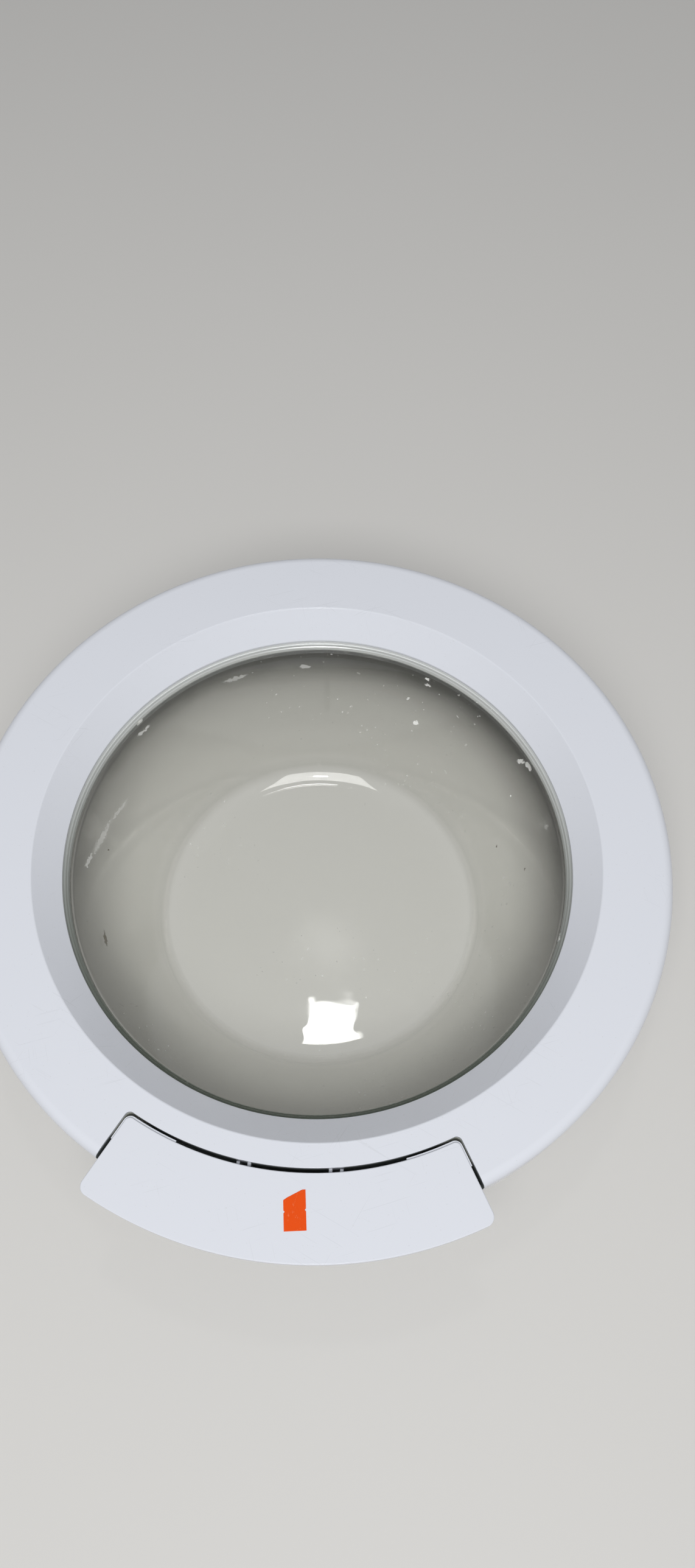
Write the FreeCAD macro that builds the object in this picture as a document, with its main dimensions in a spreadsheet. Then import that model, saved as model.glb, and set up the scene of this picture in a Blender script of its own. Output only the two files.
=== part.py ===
"""A front-loading washing machine's door, lying face up on the flat of its glass bowl.

Frame: the origin is the centre of the bowl's flat foot, +Z is up and out of the door's front,
the handle is at -Y and the hinge at +Y. Millimetres and degrees.
"""
import FreeCAD, Part
import math
import os

import Sketcher

V = FreeCAD.Vector

# Driving dimensions. Radii are from the door's axis, and heights build up from the bowl's foot.
DIMENSIONS = {
    # glass bowl
    "glass_wall": 4.5,
    "glass_depth": 104.5,
    "flange_thickness": 5.0,
    "flange_width": 13.0,
    "throat_inset": 4.0,
    "throat_height": 12.0,
    "floor_radius": 104.0,
    "corner_round": 18.0,
    # front frame
    "ring_radius": 240.0,
    "ring_wall": 2.6,
    "edge_round": 7.5,
    "frame_depth": 34.1,
    "mouth_radius": 175.0,
    "funnel_run": 17.0,
    "funnel_rise": 18.4,
    "lip_height": 2.2,
    "foot_width": 5.0,
    # notch and tray for the handle
    "notch_depth": 33.4,
    "notch_half_angle": 29.35,
    "notch_corner_round": 3.5,
    "tray_wall": 2.4,
    "tray_depth": 19.7,
    "slot_play": 1.5,
    "rim_gap": 2.2,
    # handle, its axle and the fork that carries it
    "handle_gap": 2.6,
    "handle_overhang": 20.6,
    "handle_wall": 2.4,
    "handle_skirt": 9.1,
    "handle_lip_depth": 12.5,
    "handle_lip_gap": 3.0,
    "handle_inner_corner": 3.5,
    "handle_outer_corner": 6.0,
    "handle_travel": 12.0,
    "stop_gap": 0.3,
    "axle_radius": 2.0,
    "axle_inset": 10.0,
    "axle_drop": 10.1,
    "axle_overhang": 3.4,
    "ear_middle": 28.1,
    "ear_thickness": 4.0,
    "ear_depth": 4.5,
    "cheek_thickness": 2.2,
    "cheek_top": 4.5,
    "cheek_reach": 5.5,
    "cheek_headroom": 2.8,
    "side_play": 0.3,
    "tongue_drop": 7.0,
    # latch hook and its spring
    "hook_width": 9.0,
    "hook_stem": 7.0,
    "hook_reach": 56.0,
    "barb_height": 43.0,
    "barb_length": 7.5,
    "barb_lift": 1.5,
    "barb_nose": 4.0,
    "hook_give": 8.0,
    "wire_radius": 0.6,
    "coil_length": 9.6,
    "spring_leg": 8.0,
    # rear frame
    "plate_thickness": 2.6,
    "rear_gap": 0.5,
    "collar_wall": 2.7,
    "glass_gap": 0.8,
    # screws and their bosses
    "screw_radius": 1.95,
    "screw_length": 18.0,
    "screw_head_radius": 4.0,
    "screw_head_height": 2.2,
    "screw_first_angle": 72.0,
    "screw_step_angle": 60.0,
    "screw_inset": 3.0,
    "boss_wall": 2.6,
    # hinge
    "hinge_inset": 16.0,
    "hinge_height": 15.0,
    "hinge_pin_radius": 3.0,
    "barrel_radius": 7.0,
    "barrel_length": 60.0,
    "bush_wall": 2.0,
    "bush_length": 10.0,
    "saddle_wall": 2.5,
    "saddle_half_depth": 7.5,
    "saddle_gap": 0.3,
    "arm_width": 36.0,
    "arm_thickness": 8.0,
    "neck_reach": 29.5,
    "neck_thickness": 6.5,
    "neck_outer_round": 9.0,
    "neck_inner_round": 3.0,
    "hinge_drop": 23.5,
    "hinge_flange_thickness": 3.5,
    "hinge_flange_width": 112.0,
    "hinge_flange_reach": 46.0,
    "hinge_flange_round": 8.0,
    "bolt_spacing": 84.0,
    "bolt_reach": 36.0,
    "bolt_hole_radius": 2.75,
    "window_play": 2.0,
    "window_wall": 14.2,
    "hang_angle": 64.85,
    # fits
    "running_clearance": 0.06,
    "seat_clearance": 0.03,
}

SCREWS_PER_SIDE = 3
SHANK_SIDES = 8
SIDES = (-1, 1)
ORIGIN = -1
START, END, CENTRE = 1, 2, 3
HUB_ROUNDNESS = 0.98
SADDLE_SINK = 0.8
LEG_THINNESS = 0.95


class Size:
    """A number together with the spreadsheet expression that gives it."""

    def __init__(self, value, text):
        self.value = value
        self.text = text

    def __add__(self, other):
        other = as_size(other)
        return Size(self.value + other.value, f"({self.text} + {other.text})")

    def __sub__(self, other):
        other = as_size(other)
        return Size(self.value - other.value, f"({self.text} - {other.text})")

    def __mul__(self, other):
        other = as_size(other)
        return Size(self.value * other.value, f"({self.text} * {other.text})")

    def __truediv__(self, other):
        other = as_size(other)
        return Size(self.value / other.value, f"({self.text} / {other.text})")

    def __neg__(self):
        return Size(-self.value, f"(-1 * {self.text})")

    def __rsub__(self, other):
        return as_size(other) - self

    __radd__ = __add__
    __rmul__ = __mul__


def as_size(number):
    """Take a plain number as a size."""
    return number if isinstance(number, Size) else Size(float(number), str(float(number)))


def root(size):
    """Square root of a size."""
    return Size(math.sqrt(size.value), f"sqrt({size.text})")


def cosine(angle):
    """Cosine of an angle in degrees."""
    return Size(math.cos(math.radians(angle.value)), f"cos({angle.text})")


def sine(angle):
    """Sine of an angle in degrees."""
    return Size(math.sin(math.radians(angle.value)), f"sin({angle.text})")


def degrees(arc, radius):
    """Angle in degrees that an arc length spans at a radius."""
    return arc / radius * (180.0 / math.pi)


class Dimensions:
    """The spreadsheet of driving dimensions, each read as a Size."""

    def __init__(self, doc):
        self.sheet = doc.addObject("Spreadsheet::Sheet", "Dims")
        for row, (alias, value) in enumerate(DIMENSIONS.items(), start=1):
            self.sheet.set(f"A{row}", alias)
            self.sheet.set(f"B{row}", str(value))
            self.sheet.setAlias(f"B{row}", alias)
        doc.recompute()

    def __getattr__(self, alias):
        return Size(float(self.sheet.get(alias)), f"Dims.{alias}")


class Levels:
    """Radii, heights and places that several pieces share."""

    def __init__(self, d):
        self.flange_top = d.glass_depth + d.flange_thickness
        self.mouth_height = self.flange_top + d.lip_height
        self.face_height = self.mouth_height + d.funnel_rise
        self.crease_radius = d.mouth_radius + d.funnel_run
        self.skirt_bottom = self.face_height - d.frame_depth
        self.plate_top = self.skirt_bottom + d.plate_thickness
        self.foot_radius = d.mouth_radius + d.foot_width
        self.flange_radius = d.mouth_radius + d.flange_width
        self.notch_radius = d.ring_radius - d.notch_depth
        self.tray_floor = self.face_height - d.tray_depth
        self.axle_y = -(self.notch_radius + d.axle_inset)
        self.axle_height = self.face_height - d.axle_drop
        self.handle_inner = self.notch_radius + d.handle_gap
        self.handle_outer = d.ring_radius + d.handle_overhang
        self.handle_bottom = self.face_height - d.handle_skirt
        self.handle_half_angle = d.notch_half_angle - degrees(d.handle_gap, d.ring_radius)
        self.cheek_places = [
            d.ear_middle + side * (d.ear_thickness / 2 + d.side_play + d.cheek_thickness / 2)
            for side in SIDES
        ]
        self.hinge_y = d.ring_radius - d.hinge_inset
        self.hinge_height = self.skirt_bottom + d.hinge_height
        self.bush_half = d.hinge_pin_radius + d.bush_wall
        self.bush_start = d.barrel_length / 2 + d.side_play
        self.bush_end = self.bush_start + d.bush_length
        screw_circle = (self.crease_radius + d.ring_radius) / 2 - d.screw_inset
        angles = [d.screw_first_angle - step * d.screw_step_angle for step in range(SCREWS_PER_SIDE)]
        self.screw_places = [
            (side * screw_circle * cosine(angle), screw_circle * sine(angle))
            for side in SIDES
            for angle in angles
        ]
        self.saddle_seat = self.bush_half + d.seat_clearance


class Piece:
    """One moulded, cast or turned piece, built up feature by feature."""

    def __init__(self, doc, name):
        self.doc = doc
        self.body = doc.addObject("PartDesign::Body", name)
        self.body.Label = name

    def sketch(self, plane, offset=None):
        """Start a sketch on an origin plane, or at an offset along its normal."""
        sketch = self.body.newObject("Sketcher::SketchObject", "Sketch")
        [support] = [f for f in self.body.Origin.OriginFeatures if f.Role == plane]
        sketch.AttachmentSupport = [(support, "")]
        sketch.MapMode = "FlatFace"
        if offset is not None:
            sketch.setExpression("AttachmentOffset.Base.z", offset.text)
        return sketch

    def feature(self, kind, sketch):
        """Add a feature that reads a sketch."""
        feature = self.body.newObject(f"PartDesign::{kind}", kind)
        feature.Profile = sketch
        return feature

    def revolve(self, sketch, angle=None, kind="Revolution"):
        """Turn a sketch about its vertical axis, all round or evenly to both sides."""
        before = self.volume()
        feature = self.feature(kind, sketch)
        feature.ReferenceAxis = (sketch, ["V_Axis"])
        if angle is None:
            feature.Angle = 360
        else:
            feature.Midplane = True
            feature.setExpression("Angle", angle.text)
        self.compare(before, feature)

    def groove(self, sketch, angle=None):
        """Cut a turned groove."""
        self.revolve(sketch, angle, "Groove")

    def pad(self, sketch, length, both_ways=False, kind="Pad"):
        """Raise a sketch along its normal, or evenly to both sides."""
        before = self.volume()
        feature = self.feature(kind, sketch)
        feature.Midplane = both_ways
        feature.Reversed = kind == "Pocket" and not both_ways
        feature.setExpression("Length", length.text)
        self.compare(before, feature)

    def pocket(self, sketch, length, both_ways=False):
        """Cut a sketch along its normal, or evenly to both sides."""
        self.pad(sketch, length, both_ways, "Pocket")

    def dress(self, kind, size_name, size, wanted):
        """Fillet or chamfer the edges that the test picks."""
        base = self.body.Tip
        names = [f"Edge{i}" for i, edge in enumerate(base.Shape.Edges, start=1) if wanted(edge)]
        feature = self.body.newObject(f"PartDesign::{kind}", kind)
        feature.Base = (base, names)
        feature.setExpression(size_name, size.text)
        self.doc.recompute()

    def place(self, x, y, z, axis, angle):
        """Put the finished piece in the door."""
        put(self.body, x, y, z, axis, angle)

    def volume(self):
        """Volume of the piece so far."""
        shape = self.body.Shape
        return 0.0 if shape.isNull() else shape.Volume

    def compare(self, before, feature):
        """Stop if a feature added or removed nothing."""
        self.doc.recompute()
        grown = self.volume() - before
        cutting = feature.TypeId.endswith(("Pocket", "Groove"))
        if (grown >= 0) if cutting else (grown <= 0):
            raise RuntimeError(f"{feature.Name} of {self.body.Label} changed the volume by {grown:.3f}")


def put(thing, x, y, z, axis=V(0, 0, 1), angle=0):
    """Place an object, with each coordinate tied to its expression."""
    turn = as_size(angle)
    thing.Placement = FreeCAD.Placement(V(), FreeCAD.Rotation(axis, turn.value))
    for letter, size in zip("xyz", (x, y, z)):
        thing.setExpression(f"Placement.Base.{letter}", as_size(size).text)
    if isinstance(angle, Size):
        thing.setExpression("Placement.Rotation.Angle", turn.text)


def fix(sketch, kind, places, size):
    """Add a dimension to a sketch and tie it to its expression."""
    size = as_size(size)
    number = sketch.addConstraint(Sketcher.Constraint(kind, *places, size.value))
    sketch.setExpression(f"Constraints[{number}]", size.text)


def outline(sketch, corners):
    """Draw a closed outline through corners of (x, y) or (x, y, rounding)."""
    corners = [[as_size(size) for size in corner] for corner in corners]
    points = [V(corner[0].value, corner[1].value, 0) for corner in corners]
    rounds = [corner[2] if len(corner) > 2 else None for corner in corners]
    count = len(points)
    entries, exits, arcs = [], [], []
    for i, point in enumerate(points):
        back = (points[i - 1] - point).normalize()
        ahead = (points[(i + 1) % count] - point).normalize()
        if rounds[i] is None:
            entries.append(point)
            exits.append(point)
            arcs.append(None)
            continue
        half = back.getAngle(ahead) / 2
        radius = rounds[i].value
        entries.append(point + back * (radius / math.tan(half)))
        exits.append(point + ahead * (radius / math.tan(half)))
        centre = point + (back + ahead).normalize() * (radius / math.sin(half))
        left_turn = ahead.cross(back).z > 0
        ends = (entries[i], exits[i]) if left_turn else (exits[i], entries[i])
        start, end = [math.atan2(p.y - centre.y, p.x - centre.x) for p in ends]
        arcs.append((Part.ArcOfCircle(Part.Circle(centre, V(0, 0, 1), radius), start, end), left_turn))
    lines = [
        sketch.addGeometry(Part.LineSegment(exits[i], entries[(i + 1) % count]), False)
        for i in range(count)
    ]
    for i, corner in enumerate(corners):
        before, after = lines[i - 1], lines[i]
        if arcs[i] is None:
            sketch.addConstraint(Sketcher.Constraint("Coincident", before, END, after, START))
            place = (after, START)
        else:
            arc, left_turn = arcs[i]
            number = sketch.addGeometry(arc, False)
            first, last = (START, END) if left_turn else (END, START)
            sketch.addConstraint(Sketcher.Constraint("Tangent", before, END, number, first))
            sketch.addConstraint(Sketcher.Constraint("Tangent", number, last, after, START))
            fix(sketch, "Radius", (number,), rounds[i])
            tip = sketch.addGeometry(Part.Point(points[i]), True)
            sketch.addConstraint(Sketcher.Constraint("PointOnObject", tip, START, before))
            sketch.addConstraint(Sketcher.Constraint("PointOnObject", tip, START, after))
            place = (tip, START)
        fix(sketch, "DistanceX", (ORIGIN, START, *place), corner[0])
        fix(sketch, "DistanceY", (ORIGIN, START, *place), corner[1])


def rectangle(sketch, low, high):
    """Draw a rectangle between two opposite corners."""
    outline(sketch, [low, (high[0], low[1]), high, (low[0], high[1])])


def circle(sketch, centre, radius):
    """Draw a circle."""
    x, y, radius = [as_size(size) for size in (*centre, radius)]
    number = sketch.addGeometry(Part.Circle(V(x.value, y.value, 0), V(0, 0, 1), radius.value), False)
    fix(sketch, "Radius", (number,), radius)
    fix(sketch, "DistanceX", (ORIGIN, START, number, CENTRE), x)
    fix(sketch, "DistanceY", (ORIGIN, START, number, CENTRE), y)


def eased(centre, radius, directions):
    """Points on a round edge in the given directions from its centre, for an outline to pass through."""
    return [(centre[0] + radius * x, centre[1] + radius * y) for x, y in directions]


def polygon(sketch, centre, radius, sides):
    """Draw a regular polygon with a corner along X from its centre."""
    turns = [2 * math.pi * i / sides for i in range(sides)]
    outline(sketch, eased(centre, radius, [(math.cos(turn), math.sin(turn)) for turn in turns]))


def upright_edge_at(radius, tolerance=0.05):
    """Make a test for upright straight edges at a radius from the door's axis."""

    def wanted(edge):
        ends = [v.Point for v in edge.Vertexes]
        if len(ends) != 2:
            return False
        level = max(abs(ends[0].x - ends[1].x), abs(ends[0].y - ends[1].y))
        reach = math.hypot(ends[0].x, ends[0].y)
        return level < tolerance and abs(reach - radius.value) < tolerance

    return wanted


def glass_bowl(doc, d, at):
    """Pressed glass bowl: flat foot, round corner, slanting side, upright throat and flange."""
    piece = Piece(doc, "glass_bowl")
    throat = d.mouth_radius - d.throat_inset
    throat_foot = at.flange_top - d.throat_height
    outer_round = d.corner_round + d.glass_wall
    # the slanting side runs from the throat's foot and touches the corner's round
    centre = (d.floor_radius, outer_round)
    across = throat - centre[0]
    up = throat_foot - centre[1]
    squared = across * across + up * up
    length = root(squared - d.corner_round * d.corner_round)
    side_x = (length * across - d.corner_round * up) / squared
    side_z = (d.corner_round * across + length * up) / squared
    half_turn = root(side_z * side_z + (1 + side_x) * (1 + side_x))
    directions = [(0, -1), (side_z / half_turn, -(1 + side_x) / half_turn), (side_z, -side_x)]
    outer_corner = eased(centre, outer_round, directions)
    inner_corner = eased(centre, d.corner_round, directions[::2])
    outer_throat = throat + d.glass_wall
    outer_throat_foot = outer_corner[2][1] + (outer_throat - outer_corner[2][0]) * side_z / side_x
    sketch = piece.sketch("XZ_Plane")
    outline(sketch, [
        (0, 0),
        *outer_corner,
        (outer_throat, outer_throat_foot),
        (outer_throat, d.glass_depth),
        (at.flange_radius, d.glass_depth),
        (at.flange_radius, at.flange_top),
        (throat, at.flange_top),
        (throat, throat_foot),
        *reversed(inner_corner),
        (0, d.glass_wall),
    ])
    piece.revolve(sketch)
    return piece.body


def front_frame(doc, d, at):
    """Moulded front ring with the handle's notch, its tray and fork, bosses and hinge saddles."""
    piece = Piece(doc, "front_frame")
    slope = d.funnel_run / d.funnel_rise
    funnel_shift = d.ring_wall * root(1 + slope * slope)
    inside_height = at.face_height - d.ring_wall
    edge_centre = (d.ring_radius - d.edge_round, at.face_height - d.edge_round)
    diagonal = math.sqrt(0.5)
    sketch = piece.sketch("XZ_Plane")
    outline(sketch, [
        (d.mouth_radius, at.flange_top),
        (d.mouth_radius, at.mouth_height),
        (at.crease_radius, at.face_height),
        *eased(edge_centre, d.edge_round, [(0, 1), (diagonal, diagonal), (1, 0)]),
        (d.ring_radius, at.skirt_bottom),
        (d.ring_radius - d.ring_wall, at.skirt_bottom),
        *eased(edge_centre, d.edge_round - d.ring_wall, [(1, 0), (0, 1)]),
        (at.crease_radius - d.ring_wall * slope + funnel_shift, inside_height),
        (at.foot_radius, at.flange_top),
    ])
    piece.revolve(sketch)
    add_handle_tray(piece, d, at)
    add_axle_fork(piece, d, at)
    add_screw_bosses(piece, d, at)
    saddle_top = at.face_height - d.ring_wall * SADDLE_SINK
    add_hinge_saddles(piece, d, at, at.hinge_height + d.saddle_gap / 2, saddle_top)
    return piece.body


def add_handle_tray(piece, d, at):
    """Close the notch with a tray, and open the face and the skirt's upper part above it."""
    middle = d.ring_wall / 2
    back = d.tray_wall - at.notch_radius
    front = middle - d.ring_radius
    bottom = at.tray_floor - d.tray_wall
    top = at.face_height - middle
    sketch = piece.sketch("YZ_Plane")
    outline(sketch, [
        (back, bottom),
        (back, top),
        (d.edge_round - d.ring_radius, top),
        (front, at.face_height - d.edge_round),
        (front, bottom),
    ])
    side_wall = degrees(d.tray_wall, at.notch_radius)
    piece.revolve(sketch, (d.notch_half_angle + side_wall) * 2)
    rim = at.handle_bottom - d.rim_gap
    rim_inside = d.ring_wall - d.ring_radius
    beyond = -(d.ring_radius + d.edge_round)
    above = at.face_height + d.edge_round
    sketch = piece.sketch("YZ_Plane")
    outline(sketch, [
        (-at.notch_radius, at.tray_floor),
        (-at.notch_radius, above),
        (beyond, above),
        (beyond, rim),
        (rim_inside, rim),
        (rim_inside, at.tray_floor),
    ])
    piece.groove(sketch, d.notch_half_angle * 2)
    piece.dress("Fillet", "Radius", d.notch_corner_round, upright_edge_at(at.notch_radius))
    sketch = piece.sketch("XY_Plane", bottom)
    rectangle(sketch, *hook_slot(d, at, at.axle_height - bottom))
    piece.pocket(sketch, d.tray_wall)


def hook_slot(d, at, depth):
    """Opposite corners of the slot that the hook's stem swings through, at a depth below the axle."""
    swing = d.handle_travel + d.hook_give
    half_stem = d.hook_stem / 2
    outside = at.axle_y - half_stem / cosine(swing) - depth * sine(swing) / cosine(swing) - d.slot_play
    inside = at.axle_y + half_stem + d.slot_play
    half_width = d.hook_width / 2 + d.slot_play
    return (-half_width, outside), (half_width, inside)


def add_axle_fork(piece, d, at):
    """Raise the four cheeks that hold the axle, and bore them."""
    base = at.tray_floor - d.tray_wall / 2
    half = d.cheek_thickness / 2
    wall = d.tray_wall / 2 - at.notch_radius
    sketch = piece.sketch("XY_Plane", base)
    for side in SIDES:
        for place in at.cheek_places:
            middle = side * place
            # the tray's wall curves away from the cheeks that stand further out
            heel = wall + place * place / (2 * at.notch_radius)
            rectangle(sketch, (middle - half, at.axle_y - d.cheek_reach), (middle + half, heel))
    piece.pad(sketch, at.axle_height + d.cheek_top - base)
    sketch = piece.sketch("YZ_Plane")
    circle(sketch, (at.axle_y, at.axle_height), d.axle_radius + d.seat_clearance)
    piece.pocket(sketch, at.cheek_places[1] * 3, both_ways=True)


def add_screw_bosses(piece, d, at):
    """Hang a square boss from the face for each frame screw, and drill it."""
    half = d.screw_radius + d.boss_wall
    sketch = piece.sketch("XY_Plane", at.plate_top)
    for x, y in at.screw_places:
        rectangle(sketch, (x - half, y - half), (x + half, y + half))
    piece.pad(sketch, at.face_height - d.ring_wall / 2 - at.plate_top)
    sketch = piece.sketch("XY_Plane", at.plate_top)
    for place in at.screw_places:
        polygon(sketch, place, d.screw_radius + d.seat_clearance, SHANK_SIDES)
    piece.pocket(sketch, d.screw_length)


def add_hinge_saddles(piece, d, at, bottom, top):
    """Add the blocks that trap the hinge bushes, with their square seats."""
    near = at.bush_start + d.side_play
    seat_end = at.bush_end + d.side_play
    far = seat_end + d.saddle_wall
    sketch = piece.sketch("XY_Plane", bottom)
    for low, high in [(-far, -near), (near, far)]:
        rectangle(
            sketch,
            (low, at.hinge_y - d.saddle_half_depth),
            (high, at.hinge_y + d.saddle_half_depth),
        )
    piece.pad(sketch, top - bottom)
    sketch = piece.sketch("YZ_Plane")
    rectangle(
        sketch,
        (at.hinge_y - at.saddle_seat, at.hinge_height - at.saddle_seat),
        (at.hinge_y + at.saddle_seat, at.hinge_height + at.saddle_seat),
    )
    piece.pocket(sketch, seat_end * 2, both_ways=True)


def rear_frame(doc, d, at):
    """Moulded rear ring: collar under the glass flange, plate, screw holes, hook slot and hinge window."""
    piece = Piece(doc, "rear_frame")
    collar = d.mouth_radius - d.throat_inset + d.glass_wall + d.glass_gap
    collar_outside = collar + d.collar_wall
    edge = d.ring_radius - d.ring_wall - d.rear_gap
    sketch = piece.sketch("XZ_Plane")
    outline(sketch, [
        (collar, at.skirt_bottom),
        (edge, at.skirt_bottom),
        (edge, at.plate_top),
        (collar_outside, at.plate_top),
        (collar_outside, d.glass_depth),
        (collar, d.glass_depth),
    ])
    piece.revolve(sketch)
    half_window = d.arm_width / 2 + d.window_play
    sketch = piece.sketch("XY_Plane", at.skirt_bottom)
    for place in at.screw_places:
        polygon(sketch, place, d.screw_radius + d.seat_clearance, SHANK_SIDES)
    rectangle(sketch, *hook_slot(d, at, at.axle_height - at.skirt_bottom))
    rectangle(sketch, (-half_window, collar_outside + d.window_wall), (half_window, d.ring_radius))
    piece.pocket(sketch, d.plate_thickness)
    saddle_bottom = at.skirt_bottom + d.plate_thickness / 2
    add_hinge_saddles(piece, d, at, saddle_bottom, at.hinge_height - d.saddle_gap / 2)
    return piece.body


def door_handle(doc, d, at):
    """Hollow handle, flush with the face, with a lip for the fingers, ears and the hook's tongue."""
    piece = Piece(doc, "door_handle")
    lip_bottom = at.face_height - d.handle_lip_depth
    lip_start = d.ring_radius + d.handle_lip_gap
    sketch = piece.sketch("YZ_Plane")
    outline(sketch, [
        (-at.handle_inner, at.handle_bottom),
        (-at.handle_inner, at.face_height),
        (-at.handle_outer, at.face_height),
        (-at.handle_outer, lip_bottom),
        (-lip_start, lip_bottom),
        (-lip_start, at.handle_bottom),
    ])
    piece.revolve(sketch, at.handle_half_angle * 2)
    piece.dress("Fillet", "Radius", d.handle_inner_corner, upright_edge_at(at.handle_inner))
    piece.dress("Fillet", "Radius", d.handle_outer_corner, upright_edge_at(at.handle_outer))
    below = lip_bottom - d.handle_wall
    ceiling = at.face_height - d.handle_wall
    sketch = piece.sketch("YZ_Plane")
    rectangle(
        sketch,
        (-(at.handle_inner + d.handle_wall), below),
        (d.handle_wall - at.handle_outer, ceiling),
    )
    side_wall = degrees(d.handle_wall, at.handle_inner)
    piece.groove(sketch, (at.handle_half_angle - side_wall) * 2)
    notch_for_fork(piece, d, at)
    add_ears(piece, d, at, at.face_height - d.handle_wall / 2)
    sketch = piece.sketch("YZ_Plane")
    circle(sketch, (at.axle_y, at.axle_height), d.axle_radius + d.running_clearance)
    piece.pocket(sketch, at.cheek_places[1] * 3, both_ways=True)
    return piece.body


def notch_for_fork(piece, d, at):
    """Open the inner wall where the fork's cheeks pass through it."""
    half = d.ear_thickness / 2 + d.side_play * 2 + d.cheek_thickness
    depth = at.notch_radius - (at.handle_inner + d.handle_wall)
    sketch = piece.sketch("XY_Plane", at.handle_bottom)
    for side in SIDES:
        middle = side * d.ear_middle
        rectangle(sketch, (middle - half, depth - at.notch_radius), (middle + half, -depth - at.notch_radius))
    piece.pocket(sketch, at.axle_height + d.cheek_top + d.cheek_headroom - at.handle_bottom)


def add_ears(piece, d, at, top):
    """Hang the two ears that ride on the axle, and the tongue that pushes the hook."""
    ear_bottom = at.axle_height - d.ear_depth
    half = d.ear_thickness / 2
    # the inner wall curves away from the middle of the handle
    heel = d.ear_middle * d.ear_middle / (2 * at.handle_inner) - at.handle_inner - d.handle_wall / 2
    sketch = piece.sketch("XY_Plane", ear_bottom)
    for side in SIDES:
        middle = side * d.ear_middle
        rectangle(sketch, (middle - half, at.axle_y - d.ear_depth), (middle + half, heel))
    piece.pad(sketch, top - ear_bottom)
    tongue_bottom = at.axle_height - d.tongue_drop
    tongue_front = at.axle_y + d.hook_stem / 2 + d.stop_gap
    half = d.hook_width / 2
    sketch = piece.sketch("XY_Plane", tongue_bottom)
    rectangle(sketch, (-half, tongue_front), (half, tongue_front + d.handle_wall))
    piece.pad(sketch, top - tongue_bottom)


def latch_hook(doc, d, at):
    """Die-cast hook: round hub on the axle, stem, and a barb that points inwards."""
    piece = Piece(doc, "latch_hook")
    half = d.hook_stem / 2
    hub_round = half * HUB_ROUNDNESS
    front, back = at.axle_y - half, at.axle_y + half
    tip = back + d.barb_length
    bottom = at.axle_height - d.hook_reach
    barb = at.axle_height - d.barb_height
    sketch = piece.sketch("YZ_Plane")
    outline(sketch, [
        (front, at.axle_height + half, hub_round),
        (front, bottom),
        (at.axle_y, bottom),
        (tip, barb - d.barb_nose),
        (tip, barb + d.barb_lift),
        (back, barb),
        (back, at.axle_height + half, hub_round),
    ])
    piece.pad(sketch, d.hook_width, both_ways=True)
    sketch = piece.sketch("YZ_Plane")
    circle(sketch, (at.axle_y, at.axle_height), d.axle_radius + d.running_clearance)
    piece.pocket(sketch, d.hook_width * 2, both_ways=True)
    return piece.body


def handle_spring(doc, d, at):
    """Torsion spring round the axle: one leg stands in the tray, the other bends behind the hook."""
    piece = Piece(doc, "handle_spring")
    mean = d.hook_stem / 2 + d.wire_radius + d.running_clearance
    start = d.hook_width / 2 + d.side_play
    sketch = piece.sketch("YZ_Plane", start)
    for radius in (mean + d.wire_radius, mean - d.wire_radius):
        circle(sketch, (at.axle_y, at.axle_height), radius)
    piece.pad(sketch, d.coil_length)
    leg = d.wire_radius * LEG_THINNESS
    near, far = start + d.wire_radius, start + d.coil_length - d.wire_radius
    tray_leg = at.axle_height - at.tray_floor
    for x, y, length in [(near, at.axle_y - mean, d.spring_leg), (far, at.axle_y + mean, tray_leg)]:
        sketch = piece.sketch("XY_Plane", at.axle_height - length)
        rectangle(sketch, (x - leg, y - leg), (x + leg, y + leg))
        piece.pad(sketch, length)
    foot = at.axle_height - d.spring_leg
    sketch = piece.sketch("YZ_Plane")
    rectangle(sketch, (at.axle_y - mean - leg, foot), (at.axle_y - mean + leg, foot + leg * 2))
    piece.pad(sketch, near)
    return piece.body


def rod(doc, name, radius, length, y, z):
    """Steel rod along X, evenly to both sides of the door's middle."""
    bar = doc.addObject("Part::Cylinder", name)
    bar.Label = name
    bar.setExpression("Radius", radius.text)
    bar.setExpression("Height", length.text)
    put(bar, -(length / 2), y, z, V(0, 1, 0), 90)
    return bar


def handle_axle(doc, d, at):
    """Steel rod pressed into the fork, through the ears, the hook and the spring."""
    half = at.cheek_places[1] + d.cheek_thickness / 2 + d.axle_overhang
    return rod(doc, "handle_axle", d.axle_radius, half * 2, at.axle_y, at.axle_height)


def hinge_pin(doc, d, at):
    """Steel pin through the bracket's barrel and both bushes."""
    return rod(doc, "hinge_pin", d.hinge_pin_radius, at.bush_end * 2, at.hinge_y, at.hinge_height)


def hinge_bush(doc, d, at, name, side):
    """Square plastic bush between the pin and the frames, which hold it from turning."""
    block = doc.addObject("Part::Box", "Block")
    block.setExpression("Length", d.bush_length.text)
    for extent in ("Width", "Height"):
        block.setExpression(extent, (at.bush_half * 2).text)
    middle = side * (at.bush_start + d.bush_length / 2)
    put(block, middle - d.bush_length / 2, at.hinge_y - at.bush_half, at.hinge_height - at.bush_half)
    bore = doc.addObject("Part::Cylinder", "Bore")
    bore.setExpression("Radius", (d.hinge_pin_radius + d.running_clearance).text)
    bore.setExpression("Height", (d.bush_length * 2).text)
    put(bore, middle - d.bush_length, at.hinge_y, at.hinge_height, V(0, 1, 0), 90)
    bush = doc.addObject("Part::Cut", name)
    bush.Label = name
    bush.Base = block
    bush.Tool = bore
    return bush


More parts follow.
